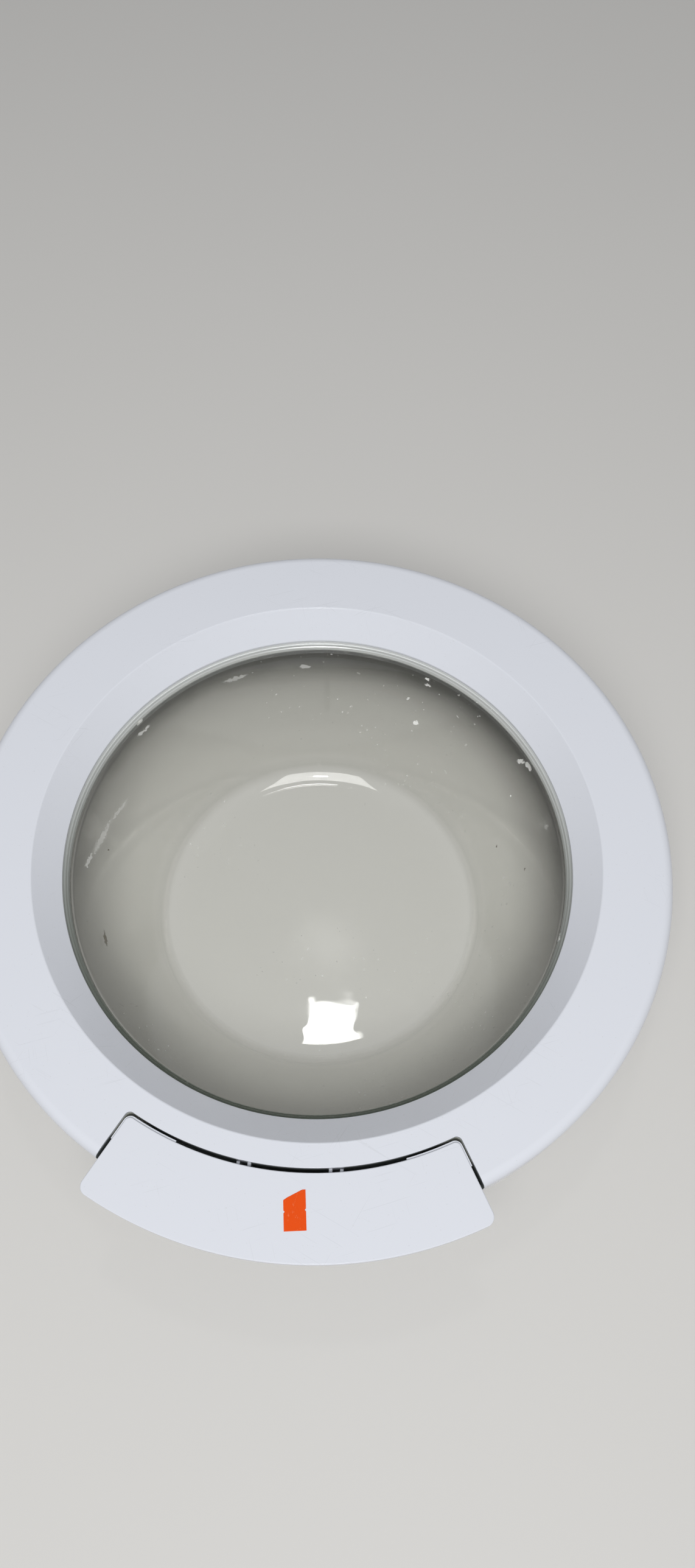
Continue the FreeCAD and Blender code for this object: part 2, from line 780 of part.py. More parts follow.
def hinge_bracket(doc, d, at):
    """Die-cast swan-neck bracket, hanging on its pin: barrel, arm, neck and bolted flange."""
    piece = Piece(doc, "hinge_bracket")
    half_arm = d.arm_thickness / 2
    neck_inside = d.neck_thickness - d.neck_reach
    sketch = piece.sketch("YZ_Plane")
    circle(sketch, (0, 0), d.barrel_radius)
    piece.pad(sketch, d.barrel_length, both_ways=True)
    sketch = piece.sketch("YZ_Plane")
    outline(sketch, [
        (0, half_arm),
        (-d.neck_reach, half_arm, d.neck_outer_round),
        (-d.neck_reach, -d.hinge_drop),
        (neck_inside, -d.hinge_drop),
        (neck_inside, -half_arm, d.neck_inner_round),
        (0, -half_arm),
    ])
    piece.pad(sketch, d.arm_width, both_ways=True)
    half_flange = d.hinge_flange_width / 2
    corner = d.hinge_flange_round
    sketch = piece.sketch("XY_Plane", -d.hinge_drop)
    outline(sketch, [
        (-half_flange, -d.hinge_flange_reach, corner),
        (half_flange, -d.hinge_flange_reach, corner),
        (half_flange, neck_inside, corner),
        (-half_flange, neck_inside, corner),
    ])
    piece.pad(sketch, d.hinge_flange_thickness)
    sketch = piece.sketch("XY_Plane", -d.hinge_drop)
    for side in SIDES:
        circle(sketch, (side * d.bolt_spacing / 2, -d.bolt_reach), d.bolt_hole_radius)
    piece.pocket(sketch, d.hinge_flange_thickness)
    sketch = piece.sketch("YZ_Plane")
    circle(sketch, (0, 0), d.hinge_pin_radius + d.seat_clearance)
    piece.pocket(sketch, d.barrel_length, both_ways=True)
    piece.place(0, at.hinge_y, at.hinge_height, V(1, 0, 0), d.hang_angle)
    return piece.body


def frame_screws(doc, d, at):
    """Hexagon-headed self-tapping screws that hold the two frames together."""
    screws = []
    for x, y in at.screw_places:
        shank = doc.addObject("Part::Prism", "Shank")
        shank.Polygon = SHANK_SIDES
        shank.setExpression("Circumradius", d.screw_radius.text)
        shank.setExpression("Height", d.screw_length.text)
        put(shank, x, y, at.skirt_bottom)
        head = doc.addObject("Part::Prism", "Head")
        head.Polygon = 6
        head.setExpression("Circumradius", d.screw_head_radius.text)
        head.setExpression("Height", d.screw_head_height.text)
        put(head, x, y, at.skirt_bottom - d.screw_head_height)
        screw = doc.addObject("Part::Fuse", "Screw")
        screw.Base = shank
        screw.Tool = head
        screws.append(screw)
    group = doc.addObject("Part::Compound", "frame_screws")
    group.Label = "frame_screws"
    group.Links = screws
    return group


def check(doc, pieces):
    """Stop if any object failed or any piece is not a sound solid."""
    doc.recompute()
    failed = [o.Name for o in doc.Objects if {"Invalid", "Error"} & set(o.State)]
    unsound = [p.Label for p in pieces if p.Shape.isNull() or not p.Shape.isValid() or not p.Shape.Solids]
    if failed or unsound:
        raise RuntimeError(f"failed objects {failed}, unsound pieces {unsound}")


def main():
    doc = FreeCAD.newDocument("WashingMachineDoor")
    d = Dimensions(doc)
    at = Levels(d)
    pieces = [
        glass_bowl(doc, d, at),
        front_frame(doc, d, at),
        rear_frame(doc, d, at),
        frame_screws(doc, d, at),
        door_handle(doc, d, at),
        handle_axle(doc, d, at),
        handle_spring(doc, d, at),
        latch_hook(doc, d, at),
        hinge_bracket(doc, d, at),
        hinge_pin(doc, d, at),
        hinge_bush(doc, d, at, "hinge_bush_left", -1),
        hinge_bush(doc, d, at, "hinge_bush_right", 1),
    ]
    check(doc, pieces)
    os.makedirs("parts", exist_ok=True)
    for piece in pieces:
        piece.Shape.exportStep(f"parts/{piece.Label}.step")
        print(f"{piece.Label}: {len(piece.Shape.Solids)} solids, {piece.Shape.Volume / 1000:.2f} cm3")


if __name__ == "__main__":
    main()
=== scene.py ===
"""Looks of a front-loading washing machine's door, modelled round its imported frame.

Metres, in the frame's own axes: the origin is the centre of the glass bowl's foot, +Z points out of
the door's face, the handle is at -Y and the hinge at +Y. Sizes of pieces are in millimetres, and the
places where a finish changes are in metres.
"""

import logging
import math
from contextlib import contextmanager
from dataclasses import dataclass
from enum import Enum
from functools import cached_property, reduce
from typing import Any, Callable, Iterator, NamedTuple, Sequence

import bmesh
import bpy
from mathutils import Matrix, Vector

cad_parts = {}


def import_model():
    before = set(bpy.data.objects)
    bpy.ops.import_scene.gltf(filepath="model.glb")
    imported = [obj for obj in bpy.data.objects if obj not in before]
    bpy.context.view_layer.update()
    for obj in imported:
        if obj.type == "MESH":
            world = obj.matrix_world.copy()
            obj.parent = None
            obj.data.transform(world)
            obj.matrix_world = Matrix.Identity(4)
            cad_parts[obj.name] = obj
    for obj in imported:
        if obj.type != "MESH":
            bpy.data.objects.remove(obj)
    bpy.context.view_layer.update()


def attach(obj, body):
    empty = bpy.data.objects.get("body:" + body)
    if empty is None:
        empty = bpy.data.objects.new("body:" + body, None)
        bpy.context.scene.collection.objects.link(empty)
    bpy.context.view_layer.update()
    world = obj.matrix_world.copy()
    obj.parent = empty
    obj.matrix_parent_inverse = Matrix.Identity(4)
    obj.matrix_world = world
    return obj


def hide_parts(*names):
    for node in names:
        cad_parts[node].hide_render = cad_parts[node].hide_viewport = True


Piece = bpy.types.Object
Material = bpy.types.Material
Edge = bmesh.types.BMEdge
Face = bmesh.types.BMFace
Test = Callable[[Any], bool]
Point = Sequence[float]
Pair = tuple[float, float]
Triple = tuple[float, float, float]
Box = tuple[Triple, Triple]

log = logging.getLogger("door")
MM = 0.001
TURN = 2.0 * math.pi
SIDES = (-1, 1)

# How near a line a vertex lies on it, in metres, and from how many degrees an edge is sharp
CLOSE = 2e-5
SHARP = 50.0

# Below this height of its normal a face looks down
DOWNWARD = -0.9

# Places that several pieces share: screws, the axle's and the hinge pin's Y and Z, the fork's cheeks
SCREW_PLACES = tuple(
    (side * x, y) for x, y in ((65.8, 202.6), (208.3, 44.3), (142.5, -158.3)) for side in SIDES
)
AXLE_PLACE = (-216.6, 120.0)
PIN_PLACE = (224.0, 111.0)
CHEEKS = (-31.5, -24.7, 24.7, 31.5)

# The hinge's saddles in both rings, and the seats of the bushes in them
SADDLE_X = (30.6, 43.1)
SADDLE_Y = (216.5, 231.5)
SEAT_X = (29.6, 44.1)
SEAT_Y = (218.97, 229.03)


class Corner(NamedTuple):
    """A corner of a turned profile: radius, height and rounding in millimetres, and the rounding's facets."""

    radius: float
    height: float
    rounding: float = 0.0
    steps: int = 5


class Cut(Enum):
    """How one solid is worked into another."""

    ADD = "UNION"
    TAKE = "DIFFERENCE"


class Element(Enum):
    """What is selected in edit mode."""

    VERT = "VERT"
    EDGE = "EDGE"
    FACE = "FACE"


# Modelling


def alone(piece: Piece) -> None:
    """Select one object and make it active.

    Args:
        piece: The object to work on.
    """
    bpy.ops.object.select_all(action="DESELECT")
    piece.select_set(True)
    bpy.context.view_layer.objects.active = piece


def pick(piece: Piece, kind: Element, wanted: Test) -> None:
    """Select only the elements that a test picks, in edit mode.

    Args:
        piece: The object in edit mode.
        kind: Edges or faces.
        wanted: The test of an element.
    """
    bpy.ops.mesh.select_all(action="DESELECT")
    mesh = bmesh.from_edit_mesh(piece.data)
    for element in mesh.faces if kind is Element.FACE else mesh.edges:
        if wanted(element):
            element.select_set(True)
    mesh.select_flush_mode()
    bmesh.update_edit_mesh(piece.data)


@contextmanager
def editing(piece: Piece, kind: Element = Element.EDGE, wanted: Test | None = None) -> Iterator[None]:
    """Open an object in edit mode with a selection, and leave edit mode at the end.

    Args:
        piece: The object to edit.
        kind: The kind of element that is selected.
        wanted: The test of an element; without one, everything is selected.
    """
    alone(piece)
    bpy.ops.object.mode_set(mode="EDIT")
    bpy.ops.mesh.select_mode(type=kind.value)
    if wanted:
        pick(piece, kind, wanted)
    else:
        bpy.ops.mesh.select_all(action="SELECT")
    try:
        yield
    finally:
        bpy.ops.object.mode_set(mode="OBJECT")


def modify(piece: Piece, kind: str, **settings: Any) -> None:
    """Put a modifier on a piece and apply it.

    Args:
        piece: The piece.
        kind: The modifier's type.
        settings: Its settings.
    """
    alone(piece)
    modifier = piece.modifiers.new(kind.title(), kind)
    for name, setting in settings.items():
        setattr(modifier, name, setting)
    bpy.ops.object.modifier_apply(modifier=modifier.name)


def close_up(piece: Piece) -> None:
    """Merge doubles and point every face outwards.

    Args:
        piece: The object to clean.
    """
    with editing(piece, Element.VERT):
        bpy.ops.mesh.remove_doubles(threshold=1e-6)
        bpy.ops.mesh.normals_make_consistent(inside=False)


def settle(piece: Piece) -> None:
    """Put an object's place into its mesh, so that it sits at the origin."""
    alone(piece)
    bpy.ops.object.transform_apply(location=True, rotation=True, scale=True)


def begin(name: str, add: Callable[..., Any], dimensions: Point | None = None, **settings: Any) -> Piece:
    """Add a primitive at its size and place, with nothing else selected.

    Args:
        name: The piece's name.
        add: The operator that adds it.
        dimensions: Its size along its own axes in millimetres, where the settings don't give it.
        settings: The operator's settings.

    Returns:
        The new object, which sits at the origin.
    """
    bpy.ops.object.select_all(action="DESELECT")
    add(**settings)
    piece = bpy.context.active_object
    piece.name = name
    if dimensions:
        piece.dimensions = [part * MM for part in dimensions]
    settle(piece)
    return piece


def extrude(shift: Point) -> None:
    """Extrude what is selected by a shift in millimetres."""
    bpy.ops.mesh.extrude_region_move(TRANSFORM_OT_translate={"value": [part * MM for part in shift]})


def round_edges(piece: Piece, wanted: Test | None, rounding: float, steps: int) -> None:
    """Bevel the edges that a test picks.

    Args:
        piece: The piece.
        wanted: The test of an edge; without one, every edge is rounded.
        rounding: The rounding in millimetres.
        steps: How many facets it has.
    """
    with editing(piece, Element.EDGE, wanted):
        bpy.ops.mesh.bevel(offset=rounding * MM, segments=steps, affect="EDGES", profile=0.5)


def upright(edge: Edge) -> bool:
    """Whether an edge is upright."""
    return (edge.verts[0].co.xy - edge.verts[1].co.xy).length < CLOSE


def sharp(edge: Edge) -> bool:
    """Whether the two faces of an edge meet at a sharp angle."""
    return edge.is_manifold and edge.calc_face_angle(0) > math.radians(SHARP)


def on_circle(corner: Corner) -> Test:
    """Make the test for the edges of the circle that a profile's corner draws.

    Args:
        corner: The corner.

    Returns:
        The test of an edge.
    """
    radius, height = corner.radius * MM, corner.height * MM

    def lies_on(vertex: bmesh.types.BMVert) -> bool:
        """Whether a vertex lies on the circle."""
        reach = math.hypot(vertex.co.x, vertex.co.y)
        return abs(reach - radius) < CLOSE and abs(vertex.co.z - height) < CLOSE

    return lambda edge: all(lies_on(vertex) for vertex in edge.verts)


def round_corners(piece: Piece, corners: Sequence[Corner]) -> None:
    """Bevel the circles at a turned profile's rounded corners.

    Args:
        piece: The turned piece.
        corners: The profile's corners.
    """
    for i, corner in enumerate(corners):
        if not corner.rounding:
            continue
        here = Vector(corner[:2])
        back = Vector(corners[i - 1][:2]) - here
        ahead = Vector(corners[(i + 1) % len(corners)][:2]) - here
        start = corner.rounding / math.tan(back.angle(ahead) / 2)
        round_edges(piece, on_circle(corner), start, corner.steps)


def fill_ends(piece: Piece, ends: Sequence[Corner], border: float = 2.0) -> None:
    """Close the end circles of a turned piece with discs that have a narrow border.

    Args:
        piece: The turned piece.
        ends: The profile's first and last corners.
        border: The border's width in millimetres.
    """
    with editing(piece):
        for end in ends:
            pick(piece, Element.EDGE, on_circle(end))
            bpy.ops.mesh.edge_face_add()
            bpy.ops.mesh.inset(thickness=border * MM)
            bpy.ops.mesh.inset(thickness=end.radius * 0.5 * MM)


def lathe(name: str, corners: Sequence[Corner], closed: bool = True, segments: int = 240) -> Piece:
    """Turn a profile about the door's axis: a circle is extruded from corner to corner, then rounded.

    Args:
        name: The piece's name.
        corners: The profile's corners in order.
        closed: Whether the last corner joins the first; otherwise both end circles are filled.
        segments: How many facets go round.

    Returns:
        The turned piece.
    """
    first, last = corners[0], corners[-1]
    circle = {"vertices": segments, "radius": first.radius * MM, "location": (0, 0, first.height * MM)}
    piece = begin(name, bpy.ops.mesh.primitive_circle_add, **circle)
    path = [*corners, first] if closed else corners
    with editing(piece):
        for before, after in zip(path, path[1:]):
            extrude((0, 0, after.height - before.height))
            scale = after.radius / before.radius
            bpy.ops.transform.resize(value=(scale, scale, 1), center_override=(0, 0, 0))
    if not closed:
        fill_ends(piece, (first, last))
    close_up(piece)
    round_corners(piece, corners)
    return piece


def sector(name: str, low: Pair, high: Pair, half_angle: float, segments: int = 36,
           split: float | None = None) -> Piece:
    """Spin a rectangle of radius and height evenly to both sides of the handle's middle.

    Args:
        name: The piece's name.
        low: The smallest radius and height, in millimetres.
        high: The largest radius and height, in millimetres.
        half_angle: How far it reaches to each side, in degrees.
        segments: How many facets lie along the arc.
        split: A radius where the level faces are divided, if any.

    Returns:
        A closed solid.
    """
    radius, height = [(a + b) / 2 * MM for a, b in zip(low, high)]
    piece = begin(
        name,
        bpy.ops.mesh.primitive_plane_add,
        (high[0] - low[0], high[1] - low[1], 0),
        size=1,
        rotation=(math.pi / 2, 0, math.pi / 2),
        location=(0, -radius, height),
    )
    turn = math.radians(half_angle)
    with editing(piece, Element.FACE):
        if split:
            bpy.ops.mesh.bisect(plane_co=(0, -split * MM, 0), plane_no=(0, 1, 0))
            bpy.ops.mesh.select_all(action="SELECT")
        bpy.ops.transform.rotate(value=-turn, orient_axis="Z", center_override=(0, 0, 0))
        bpy.ops.mesh.spin(steps=segments, angle=2 * turn, center=(0, 0, 0), axis=(0, 0, 1))
    close_up(piece)
    return piece


def round_uprights(piece: Piece, radius: float, rounding: float, steps: int = 8) -> None:
    """Bevel a solid's sharp upright edges at a radius from the door's axis.

    Args:
        piece: The solid.
        radius: The edges' radius in millimetres.
        rounding: The rounding in millimetres.
        steps: How many facets each rounding has.
    """

    def wanted(edge: Edge) -> bool:
        """Whether an edge is one of them."""
        return upright(edge) and sharp(edge) and abs(edge.verts[0].co.xy.length - radius * MM) < CLOSE

    round_edges(piece, wanted, rounding, steps)


def round_along_x(piece: Piece, place: Point, rounding: float, steps: int = 6) -> None:
    """Bevel a solid's edge that runs along X.

    Args:
        piece: The solid.
        place: The edge's Y and Z in millimetres.
        rounding: The rounding in millimetres.
        steps: How many facets the rounding has.
    """
    y, z = [part * MM for part in place]

    def wanted(edge: Edge) -> bool:
        """Whether both ends of an edge are at that place."""
        return all(math.hypot(v.co.y - y, v.co.z - z) < CLOSE for v in edge.verts)

    round_edges(piece, wanted, rounding, steps)


def block(name: str, low: Point, high: Point, rounding: float = 0.0) -> Piece:
    """A box between two corners.

    Args:
        name: The piece's name.
        low: The lowest corner in millimetres.
        high: The highest corner in millimetres.
        rounding: The rounding of all its edges in millimetres, or none.

    Returns:
        The box.
    """
    middle = [(a + b) / 2 * MM for a, b in zip(low, high)]
    dimensions = [b - a for a, b in zip(low, high)]
    piece = begin(name, bpy.ops.mesh.primitive_cube_add, dimensions, size=1, location=middle)
    if rounding:
        round_edges(piece, None, rounding, 2)
    return piece


def bar(name: str, start: Point, end: Point, radius: float, end_radius: float | None = None,
        sides: int = 40) -> Piece:
    """A round bar, prism or cone from one point to another.

    Args:
        name: The piece's name.
        start: The middle of its first end, in millimetres.
        end: The middle of its other end.
        radius: The first end's radius.
        end_radius: The other end's radius, where it differs.
        sides: How many facets go round.

    Returns:
        The bar.
    """
    low, high = [Vector(point) * MM for point in (start, end)]
    aim = high - low
    return begin(
        name,
        bpy.ops.mesh.primitive_cone_add,
        vertices=sides,
        radius1=radius * MM,
        radius2=(radius if end_radius is None else end_radius) * MM,
        depth=aim.length,
        location=(low + high) / 2,
        rotation=aim.to_track_quat("Z", "Y").to_euler(),
    )


def shave(piece: Piece, point: Point, normal: Point) -> None:
    """Cut away what lies beyond a plane, and close the cut.

    Args:
        piece: The solid.
        point: A point on the plane, in millimetres.
        normal: The direction of what is cut away.
    """
    place = [part * MM for part in point]
    with editing(piece, Element.FACE):
        bpy.ops.mesh.bisect(plane_co=place, plane_no=normal, use_fill=True, clear_outer=True)
    close_up(piece)


def twin(piece: Piece, shift: Point) -> Piece:
    """Copy a piece with its own mesh to another place.

    Args:
        piece: The piece to copy.
        shift: How far the copy moves, in millimetres.

    Returns:
        The copy.
    """
    alone(piece)
    bpy.ops.object.duplicate(linked=False)
    copy = bpy.context.active_object
    copy.location = [part * MM for part in shift]
    settle(copy)
    return copy


def work(piece: Piece, tool: Piece, cut: Cut) -> None:
    """Add a solid to a piece or take it away, and delete the solid."""
    modify(piece, "BOOLEAN", operation=cut.value, solver="EXACT", object=tool)
    bpy.data.objects.remove(tool)


def both_sides(low: Triple, high: Triple) -> tuple[Box, Box]:
    """The mirror image of a box on the left of the door's middle, and the box itself."""
    return ((-high[0], *low[1:]), (-low[0], *high[1:])), (low, high)


def add_saddles(ring: Piece, saddle: Pair, seat: Pair) -> None:
    """Add the two saddles that hold the hinge's bushes, and cut the bushes' seats into them.

    Args:
        ring: The front or the rear ring.
        saddle: The lowest and highest level of the saddles, in millimetres.
        seat: The lowest and highest level of the seats.
    """
    saddles = both_sides(*zip(SADDLE_X, SADDLE_Y, saddle))
    seats = both_sides(*zip(SEAT_X, SEAT_Y, seat))
    for saddle_box, seat_box in zip(saddles, seats):
        work(ring, block("saddle", *saddle_box), Cut.ADD)
        work(ring, block("seat", *seat_box), Cut.TAKE)


def ease_edges(piece: Piece, width: float, sharper_than: float = SHARP, steps: int = 2) -> None:
    """Round every sharp edge a little, as a mould leaves it.

    Args:
        piece: The piece.
        width: The width of the rounding in millimetres.
        sharper_than: Which edges are sharp, in degrees between their faces.
        steps: How many facets each rounding has.
    """
    modify(
        piece,
        "BEVEL",
        width=width * MM,
        segments=steps,
        limit_method="ANGLE",
        angle_limit=math.radians(sharper_than),
        use_clamp_overlap=True,
        miter_outer="MITER_ARC",
    )


def ease_where(piece: Piece, width: float, inside: Test) -> None:
    """Round the sharp outer edges in one region of a piece.

    Args:
        piece: The piece.
        width: The width of the rounding in millimetres.
        inside: The test of a point, which both ends of an edge have to pass.
    """

    def wanted(edge: Edge) -> bool:
        """Whether an edge is in the region, outward and sharp."""
        return all(inside(v.co) for v in edge.verts) and edge.is_convex and sharp(edge)

    round_edges(piece, wanted, width, 2)


def smooth(piece: Piece, angle: float = 32.0) -> None:
    """Shade a piece smoothly between its sharp edges, with broad faces kept flat.

    Args:
        piece: The piece.
        angle: The angle in degrees above which an edge stays sharp.
    """
    alone(piece)
    bpy.ops.object.shade_smooth_by_angle(angle=math.radians(angle), keep_sharp_edges=True)
    modify(piece, "WEIGHTED_NORMAL", mode="FACE_AREA", keep_sharp=True)


# Shader nodes as expressions


class Value:
    """A shader socket whose arithmetic adds Math nodes."""

    def __init__(self, book: "NodeBook", socket: bpy.types.NodeSocket) -> None:
        """Wrap an output socket of a material."""
        self.book = book
        self.socket = socket

    def math(self, operation: str, *others: "Value | float") -> "Value":
        """Add a Math node with this value as its first input."""
        return self.book.math(operation, self, *others)

    def __add__(self, other: "Value | float") -> "Value":
        """Sum of two values."""
        return self.math("ADD", other)

    def __sub__(self, other: "Value | float") -> "Value":
        """Difference of two values."""
        return self.math("SUBTRACT", other)

    def __mul__(self, other: "Value | float") -> "Value":
        """Product of two values."""
        return self.math("MULTIPLY", other)

    def __truediv__(self, other: "Value | float") -> "Value":
        """Quotient of two values."""
        return self.math("DIVIDE", other)

    def __rsub__(self, other: float) -> "Value":
        """A number less this value."""
        return self.book.math("SUBTRACT", other, self)

    def __rtruediv__(self, other: float) -> "Value":
        """A number divided by this value."""
        return self.book.math("DIVIDE", other, self)

    __radd__ = __add__
    __rmul__ = __mul__

    def between(self, low: float, high: float) -> "Value":
        """Smooth step from 0 at low to 1 at high, which may be below low."""
        inputs = {"Value": self, "From Min": low, "From Max": high}
        return self.book.node("ShaderNodeMapRange", {"interpolation_type": "SMOOTHSTEP"}, inputs)

    def most(self, other: "Value | float") -> "Value":
        """The larger of two values."""
        return self.math("MAXIMUM", other)

    def least(self, other: "Value | float") -> "Value":
        """The smaller of two values."""
        return self.math("MINIMUM", other)

    def size(self) -> "Value":
        """The value without its sign."""
        return self.math("ABSOLUTE")


class NodeBook:
    """The nodes of one material or of the world."""

    def __init__(self, owner: bpy.types.Material | bpy.types.World) -> None:
        """Start with no nodes.

        Args:
            owner: The new material or world.
        """
        owner.use_nodes = True
        self.owner = owner
        self.tree = owner.node_tree
        self.tree.nodes.clear()

    def node(self, kind: str, settings: dict[str, Any] | None = None,
             inputs: dict[str | int, Any] | None = None, output: str | int = 0) -> Value:
        """Add a node, with its settings first and its sockets' values or links after them.

        Args:
            kind: The node's type.
            settings: Properties of the node.
            inputs: Values, colours or links by socket name or number.
            output: The output socket that is returned.

        Returns:
            The output socket.
        """
        node = self.tree.nodes.new(kind)
        for name, setting in (settings or {}).items():
            setattr(node, name, setting)
        for name, given in (inputs or {}).items():
            if isinstance(given, Value):
                self.tree.links.new(given.socket, node.inputs[name])
            else:
                node.inputs[name].default_value = given
        return Value(self, node.outputs[output])

    def math(self, operation: str, *inputs: Value | float) -> Value:
        """Add a Math node."""
        return self.node("ShaderNodeMath", {"operation": operation}, dict(enumerate(inputs)))

    @cached_property
    def place(self) -> Value:
        """Object coordinates."""
        return self.node("ShaderNodeTexCoord", output="Object")

    @cached_property
    def axes(self) -> tuple[Value, Value, Value]:
        """Object coordinates along X, Y and Z."""
        split = self.node("ShaderNodeSeparateXYZ", inputs={0: self.place}).socket.node
        return tuple(Value(self, socket) for socket in split.outputs)

    @cached_property
    def radius(self) -> Value:
        """Distance from the door's axis."""
        x, y = self.axes[:2]
        return (x * x + y * y).math("SQRT")

    def ray(self, kind: str) -> Value:
        """1 for rays of one kind, and 0 for others."""
        return self.node("ShaderNodeLightPath", output=f"Is {kind} Ray")

    def noise(self, scale: float, detail: float = 2.0, stretch: Point = (1, 1, 1),
              turn: Point = (0, 0, 0)) -> Value:
        """Noise from 0 to 1.

        Args:
            scale: How many grains lie in a metre.
            detail: How many finer layers it has.
            stretch: A scale for each axis.
            turn: A turn about each axis, in radians.

        Returns:
            The noise's value.
        """
        place = self.place
        if tuple(stretch) != (1, 1, 1) or tuple(turn) != (0, 0, 0):
            inputs = {"Vector": place, "Scale": [1 / part for part in stretch], "Rotation": turn}
            place = self.node("ShaderNodeMapping", {"vector_type": "TEXTURE"}, inputs)
        return self.node("ShaderNodeTexNoise", inputs={"Vector": place, "Scale": scale, "Detail": detail})

    def wobble(self, scale: float, reach: float) -> Value:
        """Object coordinates pushed about by noise.

        Args:
            scale: How many grains lie in a metre.
            reach: How far they are pushed, in millimetres.

        Returns:
            The uneven coordinates.
        """
        inputs = {"Vector": self.place, "Scale": scale, "Detail": 2.0}
        noise = self.node("ShaderNodeTexNoise", inputs=inputs, output="Color")
        push = self.node("ShaderNodeVectorMath", {"operation": "SUBTRACT"}, {0: noise, 1: (0.5, 0.5, 0.5)})
        step = 2.0 * reach * MM
        settings = {"operation": "MULTIPLY_ADD"}
        return self.node("ShaderNodeVectorMath", settings, {0: push, 1: (step, step, step), 2: self.place})

    def spot(self, place: Value, centre: Point, size: Point, turn: float) -> Value:
        """A soft elliptical spot, 1 in its middle and 0 outside.

        Args:
            place: The coordinates.
            centre: Its middle in millimetres.
            size: Its half sizes in millimetres.
            turn: Its turn about Z in degrees.

        Returns:
            The spot's value.
        """
        inputs = {
            "Vector": place,
            "Location": [part * MM for part in centre],
            "Rotation": (0, 0, math.radians(turn)),
            "Scale": [part * MM for part in size],
        }
        local = self.node("ShaderNodeMapping", {"vector_type": "TEXTURE"}, inputs)
        reach = self.node("ShaderNodeVectorMath", {"operation": "LENGTH"}, {0: local}, output="Value")
        return reach.between(1.0, 0.55)

    def mix(self, share: Value | float, first: Any, second: Any) -> Value:
        """Mix two colours.

        Args:
            share: How much of the second colour is in it.
            first: A colour or link.
            second: A colour or link.

        Returns:
            The mixed colour.
        """
        first, second = [c if isinstance(c, Value) else (*c, 1.0) for c in (first, second)]
        return self.node("ShaderNodeMix", {"data_type": "RGBA"}, {0: share, 6: first, 7: second}, output=2)

    def layer(self, share: Value, below: Value, above: Value) -> Value:
        """Mix two shaders, by the share of the one above."""
        return self.node("ShaderNodeMixShader", inputs={0: share, 1: below, 2: above})

    def bump(self, height: Value, strength: float, distance: float) -> Value:
        """The normal that a height tilts, with the height of 1 in millimetres."""
        inputs = {"Height": height, "Strength": strength, "Distance": distance * MM}
        return self.node("ShaderNodeBump", inputs=inputs)

    def shader(self, **sockets: Any) -> Value:
        """Add a Principled shader.

        Args:
            sockets: Its sockets' values by name, with _ for spaces.

        Returns:
            The shader.
        """
        inputs = {}
        for name, given in sockets.items():
            colour = isinstance(given, tuple) and len(given) == 3
            inputs[name.replace("_", " ")] = (*given, 1.0) if colour else given
        return self.node("ShaderNodeBsdfPrincipled", inputs=inputs)

    def finish(self, surface: Value) -> bpy.types.Material | bpy.types.World:
        """Join a shader to the output.

        Args:
            surface: The shader.

        Returns:
            The finished material or world.
        """
        kind = "World" if isinstance(self.owner, bpy.types.World) else "Material"
        output = self.tree.nodes.new(f"ShaderNodeOutput{kind}")
        self.tree.links.new(surface.socket, output.inputs["Surface"])
        return self.owner


def new_book(name: str) -> NodeBook:
    """Start a new material by its name."""
    return NodeBook(bpy.data.materials.new(name))


def shade(colour: Point, share: float) -> list[float]:
    """A colour made darker or lighter."""
    return [part * share for part in colour]


# Finishes: a pair of places is where a change starts and where it is complete


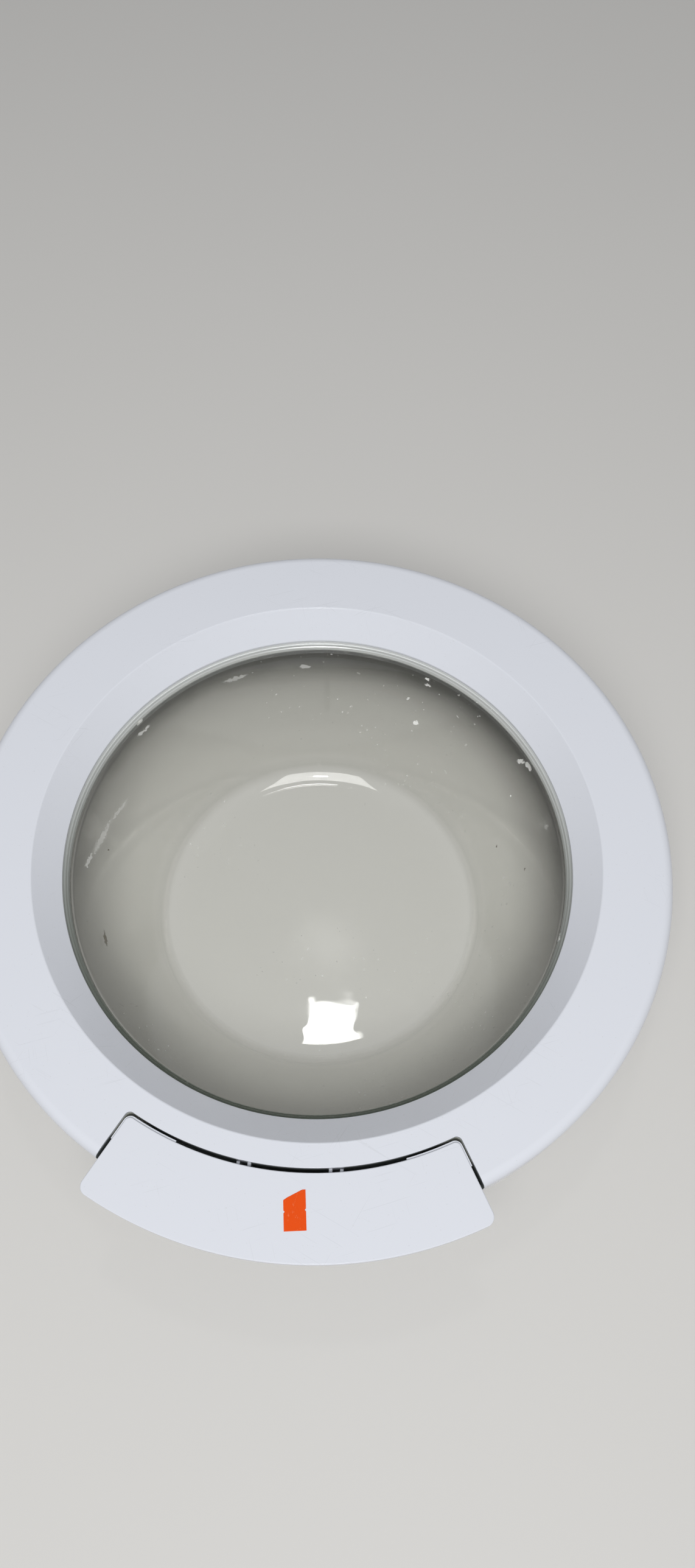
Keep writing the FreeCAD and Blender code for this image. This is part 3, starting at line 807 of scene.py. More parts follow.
@dataclass(frozen=True)
class WhitePlastic:
    """Glossy white moulding, faintly scratched, with painted shade down in the gap round the handle."""

    colour: Triple = (0.68, 0.70, 0.755)
    # Painted shade: the gap round the handle is darkened, less so near the notch's corners
    gap_shade: Triple = (0.12, 0.135, 0.132)
    gap_corner_shade: Triple = (0.58, 0.59, 0.545)
    scratch: Triple = (0.33, 0.34, 0.35)
    speck: Triple = (0.36, 0.34, 0.30)
    roughness: float = 0.17
    hairlines: tuple[Pair, ...] = ((0.35, 34.0), (1.1, 30.0), (1.9, 40.0), (2.7, 27.0))
    scratched_face: Pair = (0.112, 0.124)
    gap_inner: Pair = (0.203, 0.204)
    gap_outer: Pair = (0.2386, 0.2366)
    gap_side: Pair = (0.5645, 0.5635)
    gap_top: Pair = (0.1293, 0.1265)
    gap_floor: Pair = (0.1045, 0.1085)
    gap_near: float = -0.1
    end_side: Pair = (0.535, 0.55)
    end_outer: Pair = (0.2415, 0.2395)
    end_floor: Pair = (0.1135, 0.1182)
    corner_side: Pair = (0.46, 0.52)
    corner_outer: Pair = (0.226, 0.222)
    ear_inner: Pair = (0.0234, 0.0237)
    ear_outer: Pair = (0.0328, 0.0325)
    cheek_half: Pair = (0.0013, 0.0012)
    fork_outer: Pair = (0.2243, 0.2235)

    def material(self) -> Material:
        """Make the finish.

        Returns:
            The material.
        """
        book = new_book("white_plastic")
        cloud = book.noise(7.0, 3.0)
        smear = book.noise(22.0, 4.0, (1.0, 2.5, 1.0), (0.0, 0.0, 0.5))
        speck = book.noise(700.0, 1.0).between(0.72, 0.77)
        hair = self.scratches(book)
        gap_shade, corner = self.gap(book)
        light = (cloud - 0.5) * 0.06 + (smear - 0.5) * 0.035 + 0.5
        tone = book.mix(light, shade(self.colour, 0.94), shade(self.colour, 1.06))
        tone = book.mix(hair * 0.12, tone, self.scratch)
        tone = book.mix(speck * 0.15, tone, self.speck)
        # Painted shade down in the gap round the handle
        tone = book.mix(gap_shade, tone, book.mix(corner, self.gap_shade, self.gap_corner_shade))
        rough = (smear - 0.5) * 0.08 + hair * 0.1 + gap_shade * 0.5 + self.roughness
        ripple = book.noise(160.0, 2.0) + hair * -0.4
        normal = book.bump(ripple, 0.035, 1.0)
        return book.finish(book.shader(Base_Color=tone, Roughness=rough, IOR=1.5, Normal=normal))

    def scratches(self, book: NodeBook) -> Value:
        """Sparse hairlines in four directions.

        Args:
            book: The material's nodes.

        Returns:
            1 on a hairline, 0 elsewhere.
        """
        lines = [
            book.noise(scale, 0.0, (1.0, 42.0, 1.0), (0.0, 0.0, turn)).between(0.79, 0.81)
            for turn, scale in self.hairlines
        ]
        face = book.axes[2].between(*self.scratched_face)
        return reduce(Value.most, lines) * book.noise(13.0, 1.0).between(0.5, 0.6) * face

    def gap(self, book: NodeBook) -> tuple[Value, Value]:
        """Where shade is painted down in the gap: below the face, inside the notch of the handle.

        Args:
            book: The material's nodes.

        Returns:
            1 deep in the gap and 0 elsewhere, and 1 near the notch's corners where it is paler.
        """
        x, y, z = book.axes
        reach, across = book.radius, x.size()
        slope = across / y.least(-MM) * -1.0
        end = slope.between(*self.end_side) * reach.between(*self.end_outer) * z.between(*self.end_floor)
        inside = reach.between(*self.gap_inner) * reach.between(*self.gap_outer).most(end)
        near = slope.between(*self.gap_side) * y.math("LESS_THAN", self.gap_near)
        depth = z.between(*self.gap_top) * z.between(*self.gap_floor)
        # The ears and the cheeks in the gap get no painted shade
        unshaded = across.between(*self.ear_inner) * across.between(*self.ear_outer) * 0.4
        for middle in CHEEKS[2:]:
            unshaded = unshaded.most((across - middle * MM).size().between(*self.cheek_half))
        fork = reach.between(*self.fork_outer)
        corner = slope.between(*self.corner_side) * reach.between(*self.corner_outer)
        return inside * near * depth * (1.0 - unshaded * fork), corner


class Mark(NamedTuple):
    """A mark on the glass: its middle, half sizes and turn, in millimetres and degrees, and its strength."""

    middle: Triple
    size: Triple
    turn: float
    strength: float


# Limescale marks on the glass, and one painted glint on its rim
CHALK_AND_GLINT_MARKS = (
    Mark((63.6, 136.2, 63.6), (2.7, 1.6, 3.0), 0.0, 1.0),
    Mark((140.7, 93.6, 94.2), (4.2, 1.3, 5.0), -28.0, 0.7),
    Mark((145.9, 88.5, 97.0), (5.2, 1.4, 5.0), -55.0, 0.7),
    Mark((136.5, 75.5, 72.9), (1.1, 1.1, 1.5), 0.0, 0.9),
    Mark((-150.6, 41.0, 73.5), (15.0, 1.1, 4.5), 67.0, 0.28),
    Mark((-158.2, 17.0, 79.3), (24.0, 1.9, 6.5), 75.0, 0.32),
    Mark((-163.4, -4.2, 85.3), (10.0, 1.2, 4.5), 79.0, 0.45),
    Mark((-139.4, 99.1, 103.5), (3.4, 1.7, 2.5), 54.6, 0.8),
    Mark((-137.8, 97.4, 94.0), (7.5, 0.9, 3.0), 54.0, 0.5),
    # Painted highlight: a white glint on the glass's rim
    Mark((165.6, -41.5, 107.5), (6.5, 1.6, 3.0), 76.0, 0.85),
    Mark((160.0, 45.1, 89.7), (2.0, 2.6, 3.0), 0.0, 0.2),
    Mark((-24.2, 164.2, 89.4), (5.2, 1.3, 2.5), 6.0, 0.35),
    Mark((-75.8, 148.5, 91.0), (12.0, 1.4, 3.0), 25.0, 0.3),
    Mark((69.7, 156.1, 97.4), (2.7, 1.0, 1.6), -24.0, 0.9),
    Mark((70.1, 152.9, 93.0), (3.2, 0.9, 1.6), -24.0, 0.6),
    Mark((56.5, 148.7, 77.9), (2.1, 1.0, 2.0), 0.0, 0.6),
)
STAIN_MARKS = (
    Mark((-145.3, -56.4, 73.0), (7.5, 1.1, 3.0), -71.0, 0.75),
    Mark((-154.3, 10.2, 70.7), (1.6, 0.8, 1.5), 70.0, 0.8),
    Mark((130.3, 46.2, 44.0), (0.9, 0.9, 1.2), 0.0, 0.8),
    Mark((148.8, 21.4, 63.7), (0.8, 0.8, 1.2), 0.0, 0.7),
)


@dataclass(frozen=True)
class ClearGlass:
    """Pressed clear glass with a faint green-grey cast, dried drops and streaks of hard water; painted shade
    darkens it towards the ring, and its shoulder and rim carry painted highlights and shade.
    """

    floor_tint: Triple = (0.938, 0.936, 0.916)
    # Painted shade: the sides (which also carry the glass's own cast), the top, the inner corner, a band
    # below the shoulder and the far side towards the ring are darkened
    side_tint_and_shade: Triple = (0.785, 0.782, 0.748)
    upper_shade_tint: Triple = (0.60, 0.598, 0.565)
    band_shade_tint: Triple = (0.30, 0.302, 0.28)
    corner_shade_tint: Triple = (0.70, 0.697, 0.665)
    dusk_shade_colour: Triple = (0.0, 0.0, 0.0)
    shadow: Triple = (0.93, 0.935, 0.92)
    # Painted highlight on the shoulder far from the handle, painted shade close to it
    rim_far_highlight: Triple = (0.76, 0.78, 0.77)
    rim_near_shade: Triple = (0.065, 0.085, 0.06)
    chalk_and_glint: Triple = (0.80, 0.80, 0.77)
    stain: Triple = (0.10, 0.085, 0.06)
    side_level: Pair = (0.005, 0.024)
    upper_level: Pair = (0.03, 0.11)
    corner_low: Pair = (0.007, 0.011)
    corner_high: Pair = (0.018, 0.013)
    calm_level: Pair = (0.02, 0.006)
    rim_level: Pair = (0.1035, 0.1055)
    rim_outer: Pair = (0.1765, 0.1755)
    rim_wider: Pair = (-0.08, -0.16)
    rim_away: Pair = (-0.16, 0.14)
    shade_band_level: Pair = (0.086, 0.103)
    shade_band_away: Pair = (-0.10, 0.16)
    dusk_level: Pair = (0.060, 0.104)
    dusk_away: Pair = (0.02, 0.15)

    def material(self) -> Material:
        """Make the finish.

        Returns:
            The material.
        """
        book = new_book("clear_glass")
        surface = self.bare_glass(book)
        cover, far = self.edge(book)
        # Painted light on the shoulder: a silvery highlight far from the handle, dark green shade close to it
        tone = book.mix(far, self.rim_near_shade, self.rim_far_highlight)
        rim = book.shader(Base_Color=tone, Metallic=far * 0.5, Roughness=0.22)
        chalk_and_glint = book.shader(Base_Color=self.chalk_and_glint, Roughness=0.7)
        stain = book.shader(Base_Color=self.stain, Roughness=0.6)
        uneven = book.wobble(420.0, 1.6)
        dried_and_glint = self.marks(uneven, CHALK_AND_GLINT_MARKS).most(self.drops(book))
        for share, layer in ((cover, rim), (dried_and_glint, chalk_and_glint), (self.marks(uneven, STAIN_MARKS), stain)):
            surface = book.layer(share, surface, layer)
        through = book.node("ShaderNodeBsdfTransparent", inputs={"Color": (*self.shadow, 1.0)})
        lit = book.ray("Shadow").most(book.ray("Diffuse"))
        return book.finish(book.layer(lit, surface, through))

    def bare_glass(self, book: NodeBook) -> Value:
        """The glass without its rim and marks.

        Args:
            book: The material's nodes.

        Returns:
            The shader.
        """
        height = book.axes[2]
        # Painted shade: darker sides with the glass's own cast, a darker top and a dark ring at the inner
        # corner
        tone = book.mix(height.between(*self.side_level), self.floor_tint, self.side_tint_and_shade)
        tone = book.mix(height.between(*self.upper_level), tone, self.upper_shade_tint)
        corner = height.between(*self.corner_low) * height.between(*self.corner_high)
        tone = book.mix(corner * 0.6, tone, self.corner_shade_tint)
        # Painted shade: a grey band below the shoulder
        tone = book.mix(self.shade_band(book), tone, self.band_shade_tint)
        # Painted shade: the glass darkens towards the ring
        tone = book.mix(self.dusk(book), tone, self.dusk_shade_colour)
        calm = height.between(*self.calm_level) * 0.65 + 0.35
        normal = book.bump(book.noise(26.0, 2.0) * calm, 0.07, 2.5)
        film = book.noise(11.0, 4.0).between(0.42, 0.75)
        return book.shader(
            Base_Color=tone, Roughness=film * 0.03 + 0.012, IOR=1.5, Transmission_Weight=1.0, Normal=normal
        )

    def edge(self, book: NodeBook) -> tuple[Value, Value]:
        """The moulded shoulder below the ring, with a painted silvery highlight far from the handle and dark
        green painted shade close to it.

        Args:
            book: The material's nodes.

        Returns:
            How much the shoulder covers, and how far from the handle it is.
        """
        y, z = book.axes[1:]
        wider = y.between(*self.rim_wider) * 0.0015
        shoulder = (z + wider).between(*self.rim_level) * book.radius.between(*self.rim_outer)
        return shoulder * 0.75, y.between(*self.rim_away)

    def shade_band(self, book: NodeBook) -> Value:
        """The grey band of painted shade below the shoulder, faint close to the handle."""
        ragged = book.noise(30.0, 2.0) * 0.008 + book.axes[2]
        return ragged.between(*self.shade_band_level) * book.axes[1].between(*self.shade_band_away)

    def dusk(self, book: NodeBook) -> Value:
        """The painted shade that darkens the glass towards the ring, most on the side away from the handle.

        Args:
            book: The material's nodes.

        Returns:
            How much darker the glass is.
        """
        x, y, z = book.axes
        away = (y * 0.8 + x * 0.6).between(*self.dusk_away)
        return z.between(*self.dusk_level) * (away * 0.42 + 0.08)

    def marks(self, place: Value, marks: Sequence[Mark]) -> Value:
        """How much marks cover at their places."""
        spots = [place.book.spot(place, mark.middle, mark.size, mark.turn) * mark.strength for mark in marks]
        return reduce(Value.most, spots)

    def drops(self, book: NodeBook) -> Value:
        """How much fine dots of limescale in loose patches cover."""
        return book.noise(260.0, 1.0).between(0.735, 0.775) * book.noise(9.0, 2.0).between(0.5, 0.66) * 0.4


@dataclass(frozen=True)
class Metal:
    """A plain metal with a fine grain and duller patches."""

    name: str
    colour: Triple
    roughness: float
    grain: float
    height: float

    def material(self) -> Material:
        """Make the finish.

        Returns:
            The material.
        """
        book = new_book(self.name)
        cloud = book.noise(60.0, 3.0)
        grain = book.noise(self.grain, 2.0)
        tone = book.mix(cloud, shade(self.colour, 0.86), shade(self.colour, 1.1))
        rough = (cloud - 0.5) * 0.2 + (grain - 0.5) * 0.08 + self.roughness
        normal = book.bump(grain, self.height, 0.2)
        return book.finish(book.shader(Base_Color=tone, Metallic=1.0, Roughness=rough, Normal=normal))


@dataclass(frozen=True)
class BushPlastic:
    """Matt dark grey moulding."""

    colour: Triple = (0.022, 0.022, 0.024)

    def material(self) -> Material:
        """Make the finish.

        Returns:
            The material.
        """
        book = new_book("bush_plastic")
        grain = book.noise(900.0, 2.0)
        tone = book.mix(book.noise(80.0), self.colour, shade(self.colour, 1.5))
        normal = book.bump(grain, 0.1, 0.2)
        return book.finish(book.shader(Base_Color=tone, Roughness=grain * 0.2 + 0.42, Normal=normal))


@dataclass(frozen=True)
class OrangePaper:
    """A bright orange paper label, rubbed pale in places."""

    colour: Triple = (0.80, 0.082, 0.006)
    core: Triple = (0.85, 0.30, 0.14)

    def material(self) -> Material:
        """Make the finish.

        Returns:
            The material.
        """
        book = new_book("orange_paper")
        fibre = book.noise(1500.0, 3.0, (1.0, 0.35, 1.0))
        cloud = book.noise(160.0, 3.0)
        tone = book.mix(cloud * 0.5 + 0.1, self.colour, shade(self.colour, 0.8))
        rub = (fibre + cloud * 0.6).between(0.92, 1.08)
        tone = book.mix(rub * 0.35, tone, self.core)
        normal = book.bump(fibre, 0.12, 0.1)
        return book.finish(book.shader(Base_Color=tone, Roughness=fibre * 0.2 + 0.5, IOR=1.3, Normal=normal))


@dataclass(frozen=True)
class PaleFloor:
    """The plain pale ground that the door lies on."""

    colour: Triple = (0.64, 0.63, 0.61)

    def material(self) -> Material:
        """Make the finish.

        Returns:
            The material.
        """
        book = new_book("pale_floor")
        tone = book.mix(book.noise(3.0, 2.0), shade(self.colour, 0.98), self.colour)
        return book.finish(book.shader(Base_Color=tone, Roughness=0.55))


class Finishes:
    """The door's materials, each made once."""

    def __init__(self) -> None:
        """Make all of them."""
        self.plastic = WhitePlastic().material()
        self.glass = ClearGlass().material()
        self.steel = Metal("steel", (0.62, 0.63, 0.64), 0.28, 900.0, 0.05).material()
        self.cast = Metal("cast_metal", (0.50, 0.51, 0.52), 0.45, 1400.0, 0.2).material()
        self.bush = BushPlastic().material()
        self.paper = OrangePaper().material()


def dress(piece: Piece, finish: Material) -> None:
    """Give a piece its one finish."""
    piece.data.materials.clear()
    piece.data.materials.append(finish)


def hand_over(piece: Piece, finish: Material, body: str, node: str | None = None) -> None:
    """Dress a finished piece, let it ride on a body, and let it stand for a node.

    Args:
        piece: The finished piece.
        finish: Its material.
        body: The body it moves with.
        node: The node it replaces, if any.
    """
    dress(piece, finish)
    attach(piece, body)
    if node:
        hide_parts(node)
    triangles = sum(len(face.vertices) - 2 for face in piece.data.polygons)
    log.info("%s: %d triangles", piece.name, triangles)


# The door's pieces


@dataclass
class FrontFrame:
    """The white outer ring: funnel, flat face, rounded edge and skirt, with the notch for the handle."""

    mouth: float = 175.0
    mouth_base: float = 109.5
    mouth_top: float = 111.7
    crease: float = 192.0
    face: float = 130.1
    edge: float = 240.0
    edge_round: float = 7.5
    base: float = 96.0
    wall: float = 2.6
    funnel_back: Pair = (193.2, 180.0)
    notch: float = 206.6
    notch_angle: float = 29.35
    notch_round: float = 3.5
    tray_floor: float = 110.4
    tray_wall: float = 2.4
    tray_bite: float = 0.9
    rim_top: float = 118.8
    clear: float = 9.0
    facets: int = 48
    hook_slot: Box = ((-6, -225.6, 100), (6, -211.6, 116))
    cheek_half: float = 1.1
    cheek_low: Pair = (-222.1, 109.2)
    cheek_high: Pair = (-204.6, 124.5)
    boss_half: float = 4.55
    boss_level: Pair = (98.7, 128.8)
    saddle_level: Pair = (111.15, 128.02)
    seat_level: Pair = (105, 116.03)
    ease: float = 0.35
    ease_reach: float = -170.0

    def build(self, finishes: Finishes) -> None:
        """Model and dress the ring.

        Args:
            finishes: The door's materials.
        """
        ring = self.turn_ring()
        self.add_tray(ring)
        self.add_blocks(ring)
        ease_where(ring, self.ease, self.round_the_notch)
        smooth(ring)
        hand_over(ring, finishes.plastic, "door", "front_frame")

    def round_the_notch(self, point: Vector) -> bool:
        """Whether a point is above the tray's rim, on the handle's side."""
        return point.z > (self.rim_top + 0.2) * MM and point.y < self.ease_reach * MM

    def turn_ring(self) -> Piece:
        """Turn the ring's wall with its true roundings.

        Returns:
            The ring before the notch is cut.
        """
        inner = self.edge - self.wall
        ceiling = self.face - self.wall
        top, foot = self.funnel_back
        corners = [
            Corner(self.mouth, self.mouth_base, 0.5, 2),
            Corner(self.mouth, self.mouth_top, 0.8, 3),
            Corner(self.crease, self.face, 1.6, 4),
            Corner(self.edge, self.face, self.edge_round, 9),
            Corner(self.edge, self.base, 0.7, 3),
            Corner(inner, self.base, 0.5, 2),
            Corner(inner, ceiling, self.edge_round - self.wall, 5),
            Corner(top, ceiling),
            Corner(foot, self.mouth_base, 0.5, 2),
        ]
        return lathe("front_ring", corners)

    def add_tray(self, ring: Piece) -> None:
        """Let the handle's tray into the ring and cut its notch and the hook's slot.

        Args:
            ring: The ring.
        """
        wall = self.tray_wall
        inner = self.edge - self.wall
        spread = math.degrees(wall / self.notch)
        low = (self.notch - wall, self.tray_floor - wall)
        high = (inner + self.tray_bite, self.face - self.wall / 2)
        tray = sector("tray", low, high, self.notch_angle + spread, self.facets)
        shoulder = Corner(*high, self.edge_round, 5)
        round_corners(tray, (shoulder, Corner(low[0], high[1]), Corner(*low), Corner(high[0], low[1])))
        work(ring, tray, Cut.ADD)
        work(ring, self.notch_space(inner), Cut.TAKE)
        work(ring, block("slot", *self.hook_slot), Cut.TAKE)

    def notch_space(self, inner: float) -> Piece:
        """The room that the notch takes: down to the tray's floor, and above the tray's outer rim.

        Args:
            inner: The inner radius of the tray's outer rim, in millimetres.

        Returns:
            A closed solid.
        """
        low = (self.notch, self.rim_top)
        high = (self.edge + self.clear, self.face + self.clear)
        space = sector("space", low, high, self.notch_angle, self.facets, split=inner)

        def over_floor(face: Face) -> bool:
            """Whether a face of the underside lies over the tray's floor."""
            return face.normal.z < DOWNWARD and face.calc_center_median().xy.length < inner * MM

        with editing(space, Element.FACE, over_floor):
            extrude((0, 0, self.tray_floor - self.rim_top))
        round_uprights(space, self.notch, self.notch_round)
        return space

    def add_blocks(self, ring: Piece) -> None:
        """Add the four cheeks that carry the handle's axle, the screw bosses and the hinge's saddles.

        Args:
            ring: The ring.
        """
        half = self.cheek_half
        for x in CHEEKS:
            work(ring, block("cheek", (x - half, *self.cheek_low), (x + half, *self.cheek_high)), Cut.ADD)
        half = self.boss_half
        low, high = self.boss_level
        for x, y in SCREW_PLACES:
            work(ring, block("boss", (x - half, y - half, low), (x + half, y + half, high)), Cut.ADD)
        add_saddles(ring, self.saddle_level, self.seat_level)


@dataclass
class GlassBowl:
    """The deep pressed glass bowl with its flange."""

    disc: float = 96.0
    wall: float = 4.5
    corner_inner: float = 18.0
    corner_outer: float = 22.5
    slope: Pair = (0.522, 0.853)
    throat_inner: float = 171.0
    throat_outer: float = 175.5
    side_top_inner: float = 97.5
    side_top_outer: float = 96.24
    flange: float = 188.0
    flange_low: float = 104.5
    flange_top: float = 109.5
    flange_round: float = 1.2

    def build(self, finishes: Finishes) -> None:
        """Model and dress the bowl.

        Args:
            finishes: The door's materials.
        """
        bowl = lathe("glass_bowl_clear", self.profile(), closed=False, segments=256)
        smooth(bowl, 40.0)
        hand_over(bowl, finishes.glass, "door", "glass_bowl")

    def profile(self) -> list[Corner]:
        """The bowl's section, from the foot's underside round the flange to the floor inside.

        Returns:
            Its corners.
        """
        lean = self.slope[0] / self.slope[1]
        low_out = self.throat_outer - self.side_top_outer * lean
        low_in = self.throat_inner - (self.side_top_inner - self.wall) * lean
        return [
            Corner(self.disc, 0.0),
            Corner(low_out, 0.0, self.corner_outer, 12),
            Corner(self.throat_outer, self.side_top_outer, 6.0, 5),
            Corner(self.throat_outer, self.flange_low, self.flange_round, 3),
            Corner(self.flange, self.flange_low, self.flange_round, 3),
            Corner(self.flange, self.flange_top, self.flange_round, 3),
            Corner(174.9, self.flange_top, 0.3, 2),
            Corner(174.3, 108.7, 0.4, 2),
            Corner(173.4, 108.6, 0.4, 2),
            Corner(172.7, 107.2, 0.5, 2),
            Corner(172.0, 106.8, 0.4, 2),
            Corner(171.2, 104.4, 0.7, 3),
            Corner(self.throat_inner, self.side_top_inner, 9.0, 6),
            Corner(low_in, self.wall, self.corner_inner, 12),
            Corner(self.disc, self.wall),
        ]


@dataclass
class RearFrame:
    """The white inner ring that clamps the glass, with openings for the hook and the hinge."""

    bore: float = 176.3
    collar: float = 179.0
    edge: float = 236.9
    low: float = 96.0
    plate_top: float = 98.6
    collar_top: float = 104.5
    bead: float = 0.6
    bead_width: Pair = (3.2, 4.0)
    rim: float = 0.6
    rim_width: Pair = (5.4, 4.8)
    hook_slot: Box = ((-6, -230.6, 90), (6, -211.6, 104))
    window: Box = ((-20, 193.2, 90), (20, 250, 104))
    saddle_level: Pair = (97.3, 110.85)
    seat_level: Pair = (105.97, 120)
    pad: Pair = (6.4, 7.2)
    pad_level: Pair = (95.5, 97.0)
    drill: float = 2.3
    drill_level: Pair = (90, 104)
    ease: float = 0.3

    def build(self, finishes: Finishes) -> None:
        """Model and dress the ring.

        Args:
            finishes: The door's materials.
        """
        ring = self.turn_ring()
        work(ring, block("slot", *self.hook_slot), Cut.TAKE)
        work(ring, block("window", *self.window), Cut.TAKE)
        add_saddles(ring, self.saddle_level, self.seat_level)
        for place in SCREW_PLACES:
            low, high = [(*place, level) for level in self.pad_level]
            work(ring, bar("pad", low, high, *self.pad, sides=36), Cut.ADD)
            low, high = [(*place, level) for level in self.drill_level]
            work(ring, bar("drill", low, high, self.drill, sides=24), Cut.TAKE)
        ease_where(ring, self.ease, lambda point: point.z < (self.low + 0.7) * MM)
        smooth(ring)
        hand_over(ring, finishes.plastic, "door", "rear_frame")

    def turn_ring(self) -> Piece:
        """Turn the plate with its collar, the bead round its bore and the step at its rim.

        Returns:
            The ring before anything is cut.
        """
        bead, bead_foot = [self.bore + part for part in self.bead_width]
        rim_foot, rim = [self.edge - part for part in self.rim_width]
        corners = [
            Corner(self.bore, self.low - self.bead, 0.5, 3),
            Corner(bead, self.low - self.bead, 0.5, 3),
            Corner(bead_foot, self.low, 0.4, 2),
            Corner(rim_foot, self.low, 0.3, 2),
            Corner(rim, self.low + self.rim, 0.3, 2),
            Corner(self.edge, self.low + self.rim, 0.9, 3),
            Corner(self.edge, self.plate_top),
            Corner(self.collar, self.plate_top),
            Corner(self.collar, self.collar_top),
            Corner(self.bore, self.collar_top),
        ]
        return lathe("rear_ring", corners, segments=200)


@dataclass
class DoorHandle:
    """The white handle that lies flush in the notch and overhangs the ring's edge."""

    inner: float = 209.2
    outer: float = 260.6
    half_angle: float = 28.83
    top: float = 130.1
    low: float = 121.0
    lip: float = 243.0
    lip_low: float = 117.6
    wall: float = 2.4
    clear: float = 9.0
    inner_round: float = 3.5
    outer_round: float = 6.0
    rim_round: float = 0.8
    ledge: float = 1.1
    side_ledge: float = 0.85
    ledge_low: float = 0.9
    ledge_drop: float = 1.3
    ledge_reach: float = 226.0
    ledge_angle: float = 19.6
    ledge_round: float = 0.2
    ledge_gap: tuple[Pair, Pair] = ((200.0, 115.0), (232.0, 135.0))
    rib_half: float = 0.8
    rib_low: float = 125.8
    rib_inner: float = 226.0
    rib_sink: float = 1.2
    rib_angles: tuple[float, ...] = (-24.0, -16.0, -8.0, 0.0, 8.0, 16.0, 24.0)
    relief: Box = ((23.3, -213, 112), (32.9, -207, 127.3))
    ear: Box = ((26.1, -221.1, 115.5), (30.1, -208.5, 128.9))
    tongue: Box = ((-4.5, -212.8, 113.0), (4.5, -210.4, 128.9))

    def build(self, finishes: Finishes) -> None:
        """Model and dress the handle.

        Args:
            finishes: The door's materials.
        """
        handle = self.spin_shell()
        self.add_ledges(handle)
        self.hollow_out(handle)
        self.add_ribs(handle)
        self.add_ears(handle)
        smooth(handle)
        hand_over(handle, finishes.plastic, "handle", "door_handle")

    def spin_shell(self) -> Piece:
        """Spin the handle's outer form and round its corners and rims.

        Returns:
            A solid handle.
        """
        low = (self.inner, self.low)
        handle = sector("handle_cover", low, (self.outer, self.top), self.half_angle, split=self.lip)
        with editing(handle, Element.FACE, self.under_lip):
            extrude((0, 0, self.lip_low - self.low))
        round_uprights(handle, self.inner, self.inner_round)
        round_uprights(handle, self.outer, self.outer_round, 10)
        ease_edges(handle, self.rim_round, steps=3)
        return handle

    def under_lip(self, face: Face) -> bool:
        """Whether a face is the underside of the overhang."""
        return face.normal.z < DOWNWARD and face.calc_center_median().xy.length > self.lip * MM

    def add_ledges(self, handle: Piece) -> None:
        """Add the low ledge that runs round both inner corners, just below the top.

        Args:
            handle: The solid handle.
        """
        inner = self.inner - self.ledge
        spread = math.degrees(self.side_ledge / self.inner)
        high = (self.ledge_reach, self.top - self.ledge_drop)
        ledge = sector("ledge", (inner, self.low + self.ledge_low), high, self.half_angle + spread)
        round_uprights(ledge, inner, self.inner_round + self.ledge)
        work(ledge, sector("middle", *self.ledge_gap, self.ledge_angle), Cut.TAKE)
        ease_edges(ledge, self.ledge_round, steps=1)
        work(handle, ledge, Cut.ADD)

    def hollow_out(self, handle: Piece) -> None:
        """Hollow the handle from below.

        Args:
            handle: The solid handle.
        """
        spread = self.half_angle - math.degrees(self.wall / self.inner)
        low = (self.inner + self.wall, self.lip_low - self.clear)
        hollow = sector("hollow", low, (self.outer - self.wall, self.top - self.wall), spread)
        round_uprights(hollow, self.outer - self.wall, self.outer_round - self.wall)
        work(handle, hollow, Cut.TAKE)

    def add_ribs(self, handle: Piece) -> None:
        """Add the low ribs that stiffen the handle's top from below.

        Args:
            handle: The hollow handle.
        """
        low = (-self.rib_half, -self.outer + self.rib_sink, self.rib_low)
        high = (self.rib_half, -self.rib_inner, self.top - self.rib_sink)
        for angle in self.rib_angles:
            rib = block("rib", low, high)
            rib.rotation_euler = (0, 0, math.radians(angle))
            settle(rib)
            work(handle, rib, Cut.ADD)

    def add_ears(self, handle: Piece) -> None:
        """Add the ears on the axle, with room for the cheeks, and the tongue that pushes the hook.

        Args:
            handle: The hollow handle.
        """
        for relief, ear in zip(both_sides(*self.relief), both_sides(*self.ear)):
            work(handle, block("relief", *relief), Cut.TAKE)
            work(handle, block("ear", *ear), Cut.ADD)
        work(handle, block("tongue", *self.tongue), Cut.ADD)


@dataclass
class OrangeLabel:
    """The small torn label on the handle, bare of print."""

    corner: Triple = (0.04, -242.9, 130.11)
    size: Pair = (13.4, 23.0)
    turn: float = 6.6
    thickness: float = 0.14
    torn: tuple[Pair, ...] = (
        (0.0, 17.4), (0.7, 18.4), (1.6, 19.4), (2.8, 20.3),
        (4.4, 21.1), (7.4, 21.95), (10.4, 22.55), (13.4, 23.0),
    )
    nick: float = 0.55
    nicks: tuple[Pair, ...] = ((0.0, 10.9), (13.4, 11.5))

    def build(self, finishes: Finishes) -> None:
        """Model and dress the label.

        Args:
            finishes: The door's materials.
        """
        middle = [part / 2 * MM for part in self.size]
        plane = bpy.ops.mesh.primitive_plane_add
        label = begin("orange_label", plane, (*self.size, 0), size=1, location=(*middle, 0))
        self.tear(label)
        label.location = [part * MM for part in self.corner]
        label.rotation_euler = (0, 0, math.radians(self.turn))
        settle(label)
        hand_over(label, finishes.paper, "handle")

    def tear(self, label: Piece) -> None:
        """Tear one corner off the flat label, nick its sides and give it a body.

        Args:
            label: The flat label, lying at the origin.
        """
        for (x0, y0), (x1, y1) in zip(self.torn, self.torn[1:]):
            place, away = (x0 * MM, y0 * MM, 0), (y0 - y1, x1 - x0, 0)
            with editing(label, Element.FACE):
                bpy.ops.mesh.bisect(plane_co=place, plane_no=away, clear_outer=True)
        modify(label, "SOLIDIFY", thickness=self.thickness * MM, offset=1.0)
        half = self.nick
        for x, y in self.nicks:
            nick = block("nick", (-half, -half, -1), (half, half, 1))
            nick.rotation_euler = (0, 0, math.pi / 4)
            nick.location = (x * MM, y * MM, 0)
            settle(nick)
            work(label, nick, Cut.TAKE)
        close_up(label)


